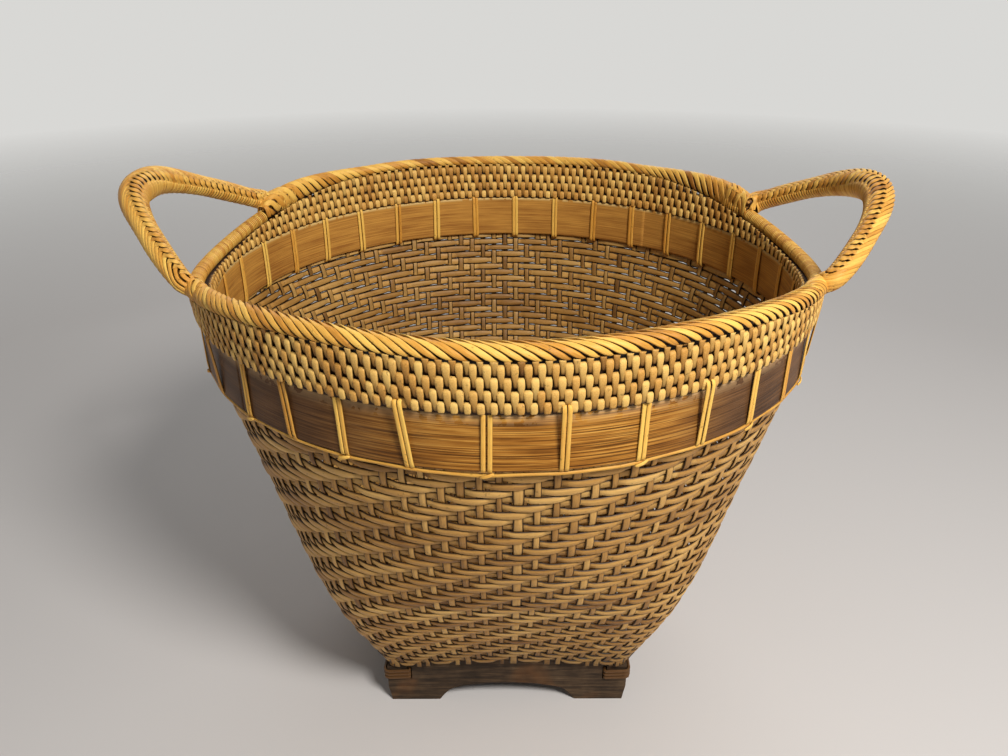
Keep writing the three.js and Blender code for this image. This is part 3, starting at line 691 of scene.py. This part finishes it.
def lashings():
    strands = Strands()
    for k in range(LASHINGS):
        azimuth = LASHING_ANGLES[k]
        top = LASHING_TOPS[k]
        over = 3.1 * smoothstep(top, 298.3, 299.6)
        loop = [(195.25, 267.0), (195.3 + 0.4 * over, 280.0), (195.4 + 0.7 * over, 290.0),
                (195.6 + 0.95 * over, 298.4), (195.7 + over, top - 0.5), (194.2 + over, top + 0.5),
                (190, top + 0.3), (186.4, 302.4), (184.9, 300.6), (184.9, 269.0), (186.0, 266.4),
                (194.2, 265.2)]
        profile = smooth_loop(loop, 48)
        spread = random.choice([1.25, 1.3, 1.3, 1.6])
        tilt = random.normal(0, 0.012) + LASHING_LEAN.get(k, 0)
        tone = tones(0.66, 0.12, None, 0.3, 0.95)
        outward = outwards(azimuth)
        sideways = outwards(azimuth + np.pi / 2)
        for lane in (-1, 1):
            width = random.uniform(1.14, 1.3)
            offset = lane * spread + (profile[:, 1] - 282) * tilt
            path = polar(azimuth + offset / BAND_RADIUS, profile[:, 0], profile[:, 1])
            ahead = np.roll(path, -1, axis=0) - np.roll(path, 1, axis=0)
            out = unit(np.cross(ahead, sideways))
            sign = np.sign(np.sum(out * (path - path.mean(axis=0)), axis=1))
            own_tone = tone + random.normal(0, 0.07)
            strands.add(path, out * sign[:, None], width, 0.5, section=FLAT, tone=own_tone, closed=True)
        if k % 2 == 0:
            t = np.linspace(-1, 1, 9)
            arch = 0.9 * (1 - t ** 2)
            centre = polar(azimuth, 195.0, RUNNER_HEIGHT)
            path = centre + outward * arch[:, None] + sideways * (3.4 * t)[:, None]
            path = path + np.array([0, 0, 1.1]) * t[:, None]
            half = np.interp(np.abs(t), [0, 0.8, 1], [1.05, 0.95, 0.5])
            strands.add(path, outward, half, 0.5, section=FLAT, tone=tone)
    names = [f"hoop_lashing_{k:02d}" for k in range(1, LASHINGS + 1)]
    strands.make("hoop_lashings", golden_cane, "golden_cane", *names)


def runner():
    strands = Strands()
    angle = np.radians(np.arange(0, 360, 0.75))
    wave = 0.25 * np.sin(angle * 34 + 0.3)
    height = RUNNER_HEIGHT + 0.5 * np.sin(angle * 5) + 0.3 * np.sin(angle * 17 + 2)
    path = polar(angle, 193.6 + wave, height)
    strands.add(path, outwards(angle), 1.1, 1.0, section=OCTAGON, tone=0.55, wear=0.12, closed=True)
    strands.make("lashing_runner_cane", golden_cane, "golden_cane", "lashing_runner")


# The collar: upright stitches two rows tall, set in columns that step by one row
COLUMNS = 376
ROW_PITCH = 6.7
STITCH_LENGTH = 12.2
LOWEST_HEAD = 5.4
# How far the stitches' two faces stand from the wall's surface
COLLAR_OUT = 4.2
COLLAR_IN = 6.9


def column_angle(column):
    base = FRONT + column * 2 * np.pi / COLUMNS
    return base - 0.035 * np.sin(2 * (base - FRONT))


def collar_outer(angle, z):
    return np.minimum(wall_radius(angle, z) + COLLAR_OUT, COLLAR_LIMIT)


def collar_inner(angle, z):
    return wall_radius(angle, z) - COLLAR_IN


def collar_stitches(name, face, sign, columns, bottom):
    strands = Strands()
    heads = np.array([(column * COLUMNS / columns, level) for column in range(columns) for level in range(6)
                      if (level + column) % 2 == 0])
    angle = column_angle(heads[:, 0])
    seat = rim_height(angle) - rim_seat(angle) * (0.45 if sign > 0 else 0.1)
    full_top = bottom + LOWEST_HEAD + heads[:, 1] * ROW_PITCH + random.normal(0, 0.16, len(heads))
    top = np.minimum(full_top, seat)
    foot = np.maximum(full_top - STITCH_LENGTH, bottom)
    keep = top - foot > 1.6
    angle, full_top, top, foot = (v[keep] for v in (angle, full_top, top, foot))
    u = np.linspace(0, 1, 11) ** 1.15
    z = top[:, None] + (foot - top)[:, None] * u
    share = (full_top[:, None] - z) / STITCH_LENGTH
    stops = [0, 0.05, 0.14, 0.3, 0.44, 0.6, 0.8, 0.93, 1]
    lane = random.normal(0, 0.09, len(angle))[:, None]
    shoulder = 0.3 * (1 - smoothstep(share, 0.3, 0.46))
    a = angle[:, None] + ((1.2 * smoothstep(share, 0.1, 1.0) - 0.5 + shoulder) * sign + lane) / BAND_RADIUS
    bulge = np.interp(share, stops, [-0.1, 0.65, 0.92, 0.92, 0.7, 0.42, 0.2, -0.1, -1.0])
    if sign > 0:
        bulge = bulge - 1.5 * held_down(a, z)
    half = np.interp(share, stops, [1.75, 1.98, 2.05, 1.98, 1.7, 1.55, 1.5, 1.45, 1.3])
    half = half * uneven(0.05, len(angle))
    tone = tones(0.6, 0.14, len(angle), 0.1, 0.97)[:, None]
    shade = np.interp(share, [0, 0.05, 0.38, 0.6, 0.8, 0.92, 1], [0.2, 0.0, 0.05, 0.26, 0.36, 0.55, 1.0])
    strands.add(polar(a, face(a, z) + sign * bulge, z), polar(a, sign * 1.0, 0.0), half, 0.62, section=FLAT,
                tone=tone + 0.1 - 0.25 * share, wear=shade)
    strands.make(name, collar_cane, "golden_cane", "collar_weave")


def collar_core_painted_shade():
    """The foundation behind the stitches, from one face to the other, dark as painted shade in the gaps
    between them.
    """
    strands = Strands()
    angle = np.radians(np.arange(0, 360, 1.0))
    low = np.full_like(angle, COLLAR_BOTTOM)
    high = rim_height(angle) - rim_seat(angle) + 0.4
    corners = [(collar_inner(angle, low) + 0.9, low), (collar_outer(angle, low) - 0.9, low),
               (collar_outer(angle, high) - 0.6, high), (collar_inner(angle, high) + 0.6, high)]
    points = np.concatenate([polar(angle, radius, height) for radius, height in corners])
    count = len(angle)
    i = np.arange(count)
    j = (i + 1) % count
    bands = [np.stack([first * count + i, first * count + j, second * count + j, second * count + i], -1)
             for first, second in ((0, 1), (1, 2), (2, 3), (3, 0))]
    faces = np.concatenate(bands)[:, ::-1]
    strands.points.append(points)
    strands.loops.append(faces.ravel())
    strands.sizes.append(np.full(len(faces), 4))
    marks = {"tone": 0.5, "along": np.tile(angle * BAND_RADIUS, 4), "across": 0.0, "wear": 0.3, "sunk": 0.0}
    for mark, value in marks.items():
        strands.marks[mark].append(np.broadcast_to(value, len(points)))
    piece = strands.make("collar_core_painted_shade", painted_shade_cane, "golden_cane", "collar_weave")
    for polygon in piece.data.polygons:
        polygon.use_smooth = False


# The rim roll: long slanting strips laid over the tube, from inside to outside
def root_rise(angle):
    """Height that the handles' bundles add where they lie along the back of the rim."""
    side = from_side(angle)
    on_right = np.cos(angle) > 0
    height = np.where(on_right, 10.0, 8.4)
    end = np.where(on_right, smoothstep(side, 18, 24.5), smoothstep(side, 20, 27))
    rise = height * (1 - smoothstep(side - ROOT_ANGLE, -4, 26)) * end
    return rise * np.where(np.sin(angle) > 0, 1.0, 0.11)


def on_top(turn):
    """Share of a rise that a strip takes part in, by its turn round the tube."""
    return smoothstep(np.cos(turn), -0.3, 0.8)


def roll_strips(strands, first, last):
    count = 70
    u = np.linspace(0, 1, 25)
    k = np.arange(-6, count + 1)
    start = first + k * (last - first) / count
    advance = 34.0 / RIM_RADIUS * (u + 0.1 * u * (1 - u))
    angle = np.clip(np.radians(start)[:, None] + advance, np.radians(first), np.radians(last))
    turn = np.radians(-106 + 232 * u)
    angle, turn = np.broadcast_arrays(angle, turn)
    sink = np.interp(np.degrees(turn[0]), [-106, -95, -70, -40, 0, 40, 70, 112, 122, 126],
                     [4.4, 4.9, 5.1, 4.6, 3.9, 4.4, 5.05, 5.2, 5.05, 4.7])
    from_end = np.degrees(np.minimum(angle - np.radians(first), np.radians(last) - angle))
    sink = sink + random.normal(0, 0.05, len(k))[:, None] - 0.5 * (1 - smoothstep(from_end, 6, 9))
    path, out = on_rim(angle, turn, sink)
    path[..., 2] += root_rise(angle) * on_top(turn)
    half = np.interp(u, [0, 0.05, 0.12, 0.3, 0.6, 0.87, 0.94, 1],
                     [1.3, 1.65, 1.8, 1.74, 1.58, 1.5, 1.05, 0.25])
    half = half * uneven(0.03, len(k)) * (1 + 0.035 * root_rise(angle))
    lean = np.cross(out, unit(np.gradient(path, axis=1)))
    tone = tones(0.62, 0.19, len(k))
    # Painted shade at the strips' ends, where they tuck under the others
    wear = np.interp(u, [0, 0.1, 0.9, 1], [0.5, 0.0, 0.0, 0.25])
    strands.add(path, unit(out + lean * 0.24), half, 0.54, section=FLAT, tone=tone,
                wear=np.broadcast_to(wear, half.shape))


def rim_roll(name, first, last, node):
    strands = Strands()
    beyond = ROOT_ANGLE - EDGING_HALF_ANGLE - 0.4
    first, last = first - beyond, last + beyond
    roll_strips(strands, first, last)
    degrees = np.linspace(first, last, 140)
    angle = np.radians(degrees)
    centre, _, up = rim_frame(angle)
    from_end = np.minimum(degrees - first, last - degrees)
    hidden = smoothstep(from_end, 4, 9)
    rounded = 0.35 + 0.65 * smoothstep(from_end, 0, 2.5)
    # The tube under the strips and the bundle that raises it, dark as painted shade where the strips cover
    # them
    strands.add(centre, up, 4.5, 3.3, section=OCTAGON, tone=0.1, wear=1.0)
    raised = centre + up * (0.85 * root_rise(angle))[:, None]
    strands.add(raised, up, 4.4 * rounded, 4.0 * rounded, section=OCTAGON, tone=(0.5 - 0.4 * hidden)[None],
                wear=(0.3 + 0.7 * hidden)[None])
    strands.make(name, golden_cane, "golden_cane", node)


def edging(name, side, node):
    strands = Strands()
    half = np.radians(EDGING_HALF_ANGLE)
    length = RIM_RADIUS * 2 * half
    turns = int(length / 1.7)
    t = np.linspace(0, 1, turns * 14 + 1)
    angle = side + half * (2 * t - 1) * 0.995
    path, out = on_rim(angle, t * turns * 2 * np.pi, EDGING_RADIUS - 0.62)
    steps = np.floor(t * turns).astype(int)
    tone = tones(0.6, 0.17, turns + 1, 0.2, 0.95)[steps]
    strands.add(path, out, 0.8, 0.72, section=HEXAGON, tone=tone[None], wear=0.04)
    # The tube under the windings, dark as painted shade
    centre, _, up = rim_frame(side + half * np.linspace(-1, 1, 60))
    strands.add(centre, up, 3.9, 3.9, section=OCTAGON, tone=0.1, wear=1.0)
    strands.make(name, golden_cane, "golden_cane", node)


# Handles: bows that grow out of the roll, wound with strips that slant towards the crown
def centripetal(points, per_span):
    points = np.asarray(points, float)
    spans = []
    for k in range(1, len(points) - 2):
        p0, p1, p2, p3 = points[k - 1:k + 3]
        d0, d1, d2 = (np.sqrt(np.linalg.norm(b - a)) for a, b in ((p0, p1), (p1, p2), (p2, p3)))
        m1 = ((p1 - p0) / d0 - (p2 - p0) / (d0 + d1) + (p2 - p1) / d1) * d1
        m2 = ((p2 - p1) / d1 - (p3 - p1) / (d1 + d2) + (p3 - p2) / d2) * d1
        t = np.linspace(0, 1, per_span, endpoint=False)[:, None]
        spans.append((2 * t ** 3 - 3 * t ** 2 + 1) * p1 + (t ** 3 - 2 * t ** 2 + t) * m1
                     + (3 * t ** 2 - 2 * t ** 3) * p2 + (t ** 3 - t ** 2) * m2)
    spans.append(points[-2][None])
    return np.concatenate(spans)


def rim_point(degrees):
    angle = np.radians(degrees)
    return polar(angle, RIM_RADIUS, rim_height(angle))


class Loop:
    """A handle's centre line, from the rim up over the crown and back, by length from its root."""

    def __init__(self, leg_angle, lift, shoulder, crown, turned):
        self.turned = turned
        foot = rim_point(-leg_angle) + np.array([lift, 0, lift])

        def bow(reach, half):
            out, rise = reach * np.cos(HANDLE_TILT), reach * np.sin(HANDLE_TILT)
            return np.array([foot[0] + out, -half, foot[2] + rise])

        points = [rim_point(angle) for angle in (-55.8, -49.8, -43.8, -37.8, -ROOT_ANGLE)]
        points += [foot, bow(*shoulder), bow(*crown), bow(HANDLE_REACH, 0)]
        mirrored = [p * np.array([1, -1, 1]) for p in points[:-1]][::-1]
        per_span = 60
        self.line = centripetal(points + mirrored, per_span)
        at = lengths(self.line)
        before_root = at[3 * per_span]
        self.at = at - before_root
        self.length = at[-1] - 2 * before_root
        strips = int(self.length / SLIT_PITCH)
        self.pitch = self.length / strips
        self.starts = (np.arange(-3, strips + 1) + 0.5) * self.pitch

    def from_root(self, s):
        return np.minimum(s, self.length - s)

    def place(self, s):
        return np.stack([np.interp(s, self.at, self.line[:, k]) for k in range(3)], -1)

    def frame(self, s):
        ahead = unit(self.place(s + 1.5) - self.place(s - 1.5))
        lean = HANDLE_TILT * smoothstep(self.from_root(s), 0, 45)
        normal = np.stack([-np.sin(lean), np.zeros_like(lean), np.cos(lean)], -1)
        up = unit(normal - ahead * np.sum(normal * ahead, axis=-1, keepdims=True))
        return self.place(s), np.cross(ahead, up), up

    def tube(self, s):
        share = self.from_root(s) / self.length
        leg = (LEG_RADIUS - ROLL_RADIUS) * smoothstep(share, 0, 0.25)
        return ROLL_RADIUS + leg + (CROWN_RADIUS - LEG_RADIUS) * smoothstep(share, 0.25, 0.5)

    def back_rise(self, s):
        """How much taller the leg stands where its bundle runs on into the back of the rim."""
        if self.turned:
            return 6.8 * (1 - smoothstep(s, 2, 42))
        return 9.5 * (1 - smoothstep(self.length - s, 10, 48))

    def on(self, s, turn, radius):
        point, direction = round_tube(self.frame(s), turn, radius)
        point[..., 2] += self.back_rise(s) * on_top(turn)
        return point, direction

    def sunk(self, s):
        """How much deeper strips lie towards the crown, and where they dive under the rim's roll."""
        from_rim = self.from_root(s)
        return 0.45 * smoothstep(from_rim, 50, 90) + 2.2 * (1 - smoothstep(from_rim, -1, 9))

    def wound(self, s, turn, depth):
        return self.on(s, turn, self.tube(s) - depth - self.sunk(s))

    def ridge(self, s):
        """Turn of the smooth ridge between the two rows of slits."""
        from_front = self.length - s if self.turned else s
        free = 17 - 58 * smoothstep(from_front, self.length / 2 - 28, self.length / 2 + 38)
        near = 1 - smoothstep(self.from_root(s), 4, 46)
        return np.radians(free + (-62 - free) * near)


RIGHT_LOOP = Loop(24.2, 2.6, (7.8, 81.1), (53.4, 34.2), False)
LEFT_LOOP = Loop(26.5, 3.6, (4.6, 86.9), (57.8, 29.5), True)


def swept(start, turn, slope, radius):
    """Lengths along a loop for strips that advance as they turn."""
    return start[:, None] + summed(slope[:, 1:] * np.diff(turn, axis=1) * radius[:, None])


def outer_leaves(strands, loop):
    """Leaves of the outer side, from under the ridge down to the underside."""
    start = loop.starts
    from_root = loop.from_root(start)
    near_root = 1 - smoothstep(from_root, 4, 26)
    u = np.linspace(0, 1, 26)
    first = loop.ridge(start) + np.radians(25 - 53 * near_root)
    turn = first[:, None] + (np.radians(150) - first)[:, None] * u
    past = np.degrees(turn - first[:, None])
    steepest = np.radians(46 + 16 * smoothstep(from_root, 5, 40))[:, None]
    slant = steepest * (0.55 + 0.45 * smoothstep(past, 0, 25))
    s = swept(start, turn, np.tan(slant), loop.tube(start))
    depth = np.interp(past, [0, 14, 40], [1.9, 1.3, 1.0]) + np.interp(u, [0, 0.93, 1], [0, 0, 0.5])
    path, out = loop.wound(s, turn, depth)
    lean = np.cross(out, unit(np.gradient(path, axis=1)))
    full = np.maximum(np.interp(past, [0, 14, 35], [0.5, 0.82, 0.97]), 0.92 * near_root[:, None])
    half = loop.pitch * np.cos(slant) * 0.5 * full
    half = half * np.interp(u, [0, 0.92, 1], [1, 1, 0.55]) * uneven(0.04, len(start))
    tone = tones(0.64, 0.13, len(start))
    # Painted shade where the leaves come out from under the ridge
    wear = 0.3 * (1 - smoothstep(past, 0, 18))
    strands.add(path, unit(out + lean * 0.1), half, 0.56, section=FLAT, tone=tone, wear=wear)


def ridge_strips(strands, loop):
    """Strips over the ridge, with a row of slits on each side of it."""
    start = loop.starts[loop.from_root(loop.starts) > 9][:, None]
    psi = np.radians(np.linspace(-46, 36, 28))[None]
    degrees = np.degrees(psi)
    slope = np.interp(degrees, [-46, -28, 0, 22, 36], [0.1, 0.45, 0.5, 0.55, 0.65])
    way = np.tanh((loop.length / 2 - start) / 15)
    s = swept(start[:, 0], psi + 0 * start, slope * way, loop.tube(start[:, 0]))
    at_slit = 22
    s = s - s[:, at_slit:at_slit + 1] + start
    turn = loop.ridge(start) + psi
    slit = np.exp(-((degrees + 19) / 9) ** 2) + np.exp(-((degrees - 18) / 9.5) ** 2)
    depth = np.interp(degrees, [-46, -26, 0, 20, 36], [1.8, 1.2, 0.95, 1.1, 1.7])
    path, out = loop.wound(s, turn, depth)
    half = loop.pitch * np.cos(np.arctan(slope * np.abs(way))) * 0.5
    half = half * uneven(0.03, len(start)) - 0.88 * slit
    tone = tones(0.6, 0.12, len(start))
    # Painted shade at the slits
    strands.add(path, out, half, 0.6, section=FLAT, tone=tone, wear=0.25 * slit + 0 * half)


def fine_windings(strands, loop):
    """Fine windings on the side of the gap."""
    rings = int(loop.length / 2.1)
    at = (np.arange(rings) + 0.5) * loop.length / rings
    at = at[loop.from_root(at) > 1]
    near = 1 - smoothstep(loop.from_root(at), 8, 20)
    first = np.radians(-148)
    last = np.maximum(loop.ridge(at) - np.radians(29 - 16 * near), np.radians(-95))
    u = np.linspace(0, 1, 12)
    turn = first + (last - first)[:, None] * u
    s = at[:, None] + 0 * u
    path, out = loop.wound(s, turn, np.interp(u, [0, 0.1, 0.9, 1], [1.4, 0.85, 0.85, 1.3]))
    strands.add(path, out, 1.0, 0.5, tone=tones(0.62, 0.13, len(at)), wear=0.04)


def root_windings(strands, loop):
    """A plain winding under the joint at each root."""
    turns = 11
    t = np.linspace(0, 1, turns * 16 + 1)
    for s in (18 * t - 4, loop.length - (18 * t - 4)):
        path, out = loop.on(s, t * turns * 2 * np.pi, loop.tube(s) - 1.75)
        strands.add(path, out, 0.85, 0.7, section=HEXAGON, tone=0.55, wear=0.1)


def underside(strands, loop):
    start = loop.starts
    turn = np.radians(np.linspace(143, 222, 10)) + 0 * start[:, None]
    slope = np.interp(np.degrees(turn), [143, 222], [0.9, 0.15])
    s = swept(start, turn, slope, loop.tube(start))
    path, out = loop.wound(s, turn, 0.85)
    # Painted shade: the underside is darker than the strips above it
    tone = tones(0.5, 0.1, len(start))
    strands.add(path, out, loop.pitch * 0.5, 0.56, section=FLAT, tone=tone, wear=0.15)


def bundle(strands, loop):
    """The bundle inside, dark as painted shade where the strips cover it and in the slits, paler at the
    roots, where it shows between the strips.
    """
    s = np.linspace(-4, loop.length + 4, 160)
    centre, _, up = loop.frame(s)
    radius = loop.tube(s) - 2.3 - loop.sunk(s)
    hidden = smoothstep(loop.from_root(s), 26, 34)
    for share in (0, 0.85):
        raised = centre + np.array([0, 0, share]) * loop.back_rise(s)[:, None]
        strands.add(raised, up, radius, radius, section=OCTAGON, tone=(0.45 - 0.35 * hidden)[None],
                    wear=(0.4 + 0.6 * hidden)[None])


def handle(name, loop, node):
    strands = Strands()
    for part in (outer_leaves, ridge_strips, fine_windings, root_windings, underside, bundle):
        part(strands, loop)
    if loop.turned:
        strands.points = [p * np.array([-1, -1, 1]) for p in strands.points]
    strands.make(name, golden_cane, "golden_cane", node)


wall_stakes()
wall_weaver()
floor_strips()
hoop("outer_hoop_strip", OUTER_HOOP, 217, dark_bamboo, "dark_bamboo", "outer_hoop")
hoop("inner_hoop_strip", INNER_HOOP, 58, golden_bamboo, "golden_bamboo", "inner_hoop")
lashings()
runner()
collar_core_painted_shade()
collar_stitches("collar_stitches_outside", collar_outer, 1, COLUMNS, 299.2)
collar_stitches("collar_stitches_inside", collar_inner, -1, 356, 301.2)
rim_roll("rim_roll_back", ROOT_ANGLE, 180 - ROOT_ANGLE, "rim_wrap_back")
rim_roll("rim_roll_front", 180 + ROOT_ANGLE, 360 - ROOT_ANGLE, "rim_wrap_front")
edging("rim_edging_winding_right", 0.0, "rim_edging_right")
edging("rim_edging_winding_left", np.pi, "rim_edging_left")
handle("handle_winding_right", RIGHT_LOOP, "handle_wrap_right")
handle("handle_winding_left", LEFT_LOOP, "handle_wrap_left")

# CAD nodes that keep their shape; the rim and handle cores take the dark cane that paints the shade under
# the wraps
KEPT = {"foot_board": weathered_wood, "corner_lashing": corner_cane, "rim_core": painted_shade_cane,
        "handle_core": painted_shade_cane}
for name, node in frame["nodes"].items():
    for start, material in KEPT.items():
        if name.startswith(start):
            node.data.materials.clear()
            node.data.materials.append(material)
    if name.startswith("foot_board"):
        bevel = node.modifiers.new("worn_edges", "BEVEL")
        bevel.width = 0.7 * MM
        bevel.segments = 2
        bevel.limit_method = "ANGLE"
        bevel.angle_limit = np.radians(40)


# Floor, camera and light
def floor():
    n = Nodes("studio_floor")
    n.shader.inputs["Base Color"].default_value = (0.66, 0.637, 0.625, 1)
    n.shader.inputs["Roughness"].default_value = 0.75
    place = n.place()
    length = n.new("ShaderNodeVectorMath", operation="LENGTH")
    n.link(place, length.inputs[0])
    fade = n.new("ShaderNodeMapRange")
    fade.inputs["From Min"].default_value = 0.9
    fade.inputs["From Max"].default_value = 2.6
    n.link(length.outputs["Value"], fade.inputs["Value"])
    clear = n.new("ShaderNodeBsdfTransparent")
    mixed = n.new("ShaderNodeMixShader")
    for node, socket in zip((fade, n.shader, clear), mixed.inputs):
        n.link(node.outputs[0], socket)
    n.link(mixed.outputs[0], n.tree.nodes["Material Output"].inputs["Surface"])
    bpy.ops.mesh.primitive_circle_add(vertices=96, radius=3.0, fill_type="NGON", location=(0, 0, 0))
    ground = bpy.context.object
    ground.name = "studio_floor"
    ground.data.materials.append(n.material)


CAMERA_PLACE = (-1.84, -537.02, 487.30)
CAMERA_FORWARD = (0.000355, 0.894926, -0.446215)
CAMERA_LEVEL = (1, -0.0004, 0)
CAMERA_ROLL = np.radians(-0.162)
FOCAL_LENGTH = 30.31


def camera():
    data = bpy.data.cameras.new("camera")
    data.lens = FOCAL_LENGTH
    data.sensor_width = 36
    data.clip_start = 0.01
    item = placed("camera", data)
    forward = Vector(CAMERA_FORWARD).normalized()
    level = Vector(CAMERA_LEVEL).normalized()
    upright = level.cross(forward)
    right = level * np.cos(CAMERA_ROLL) + upright * np.sin(CAMERA_ROLL)
    up = upright * np.cos(CAMERA_ROLL) - level * np.sin(CAMERA_ROLL)
    turn = Matrix((right, up, -forward)).transposed().to_4x4()
    item.matrix_world = Matrix.Translation(Vector(CAMERA_PLACE) * MM) @ turn
    bpy.context.scene.camera = item


def lamp(name, place, aim, size, power, colour=(1, 1, 1)):
    data = bpy.data.lights.new(name, "AREA")
    data.shape = "DISK"
    data.size = size
    data.energy = power
    data.color = colour
    item = placed(name, data)
    item.location = place
    item.rotation_euler = (Vector(aim) - Vector(place)).to_track_quat("-Z", "Y").to_euler()


def world():
    item = bpy.data.worlds.new("studio")
    item.use_nodes = True
    bpy.context.scene.world = item
    tree = item.node_tree
    ambient = tree.nodes["Background"]
    ambient.inputs["Color"].default_value = (1.0, 0.99, 0.97, 1)
    ambient.inputs["Strength"].default_value = 0.16
    seen = tree.nodes.new("ShaderNodeBackground")
    seen.inputs["Color"].default_value = (0.69, 0.685, 0.665, 1)
    seen.inputs["Strength"].default_value = 1.0
    path = tree.nodes.new("ShaderNodeLightPath")
    either = tree.nodes.new("ShaderNodeMath")
    either.operation = "MAXIMUM"
    for ray, socket in zip(("Is Camera Ray", "Is Glossy Ray"), either.inputs):
        tree.links.new(path.outputs[ray], socket)
    mixed = tree.nodes.new("ShaderNodeMixShader")
    for node, socket in zip((either, ambient, seen), mixed.inputs):
        tree.links.new(node.outputs[0], socket)
    tree.links.new(mixed.outputs[0], tree.nodes["World Output"].inputs["Surface"])


floor()
camera()
world()
lamp("key", (0.5, -0.8, 1.12), (0, 0, 0.2), 0.36, 17.0, (1.0, 0.97, 0.93))
lamp("fill_left", (-1.3, -0.5, 0.9), (0, 0, 0.15), 1.0, 0.5)
lamp("fill_right", (1.3, -0.4, 0.9), (0, 0, 0.15), 1.0, 1.2)
lamp("back", (0.1, 1.3, 1.1), (0, 0, 0.2), 1.0, 5.0)
bpy.context.scene.view_settings.view_transform = "Standard"
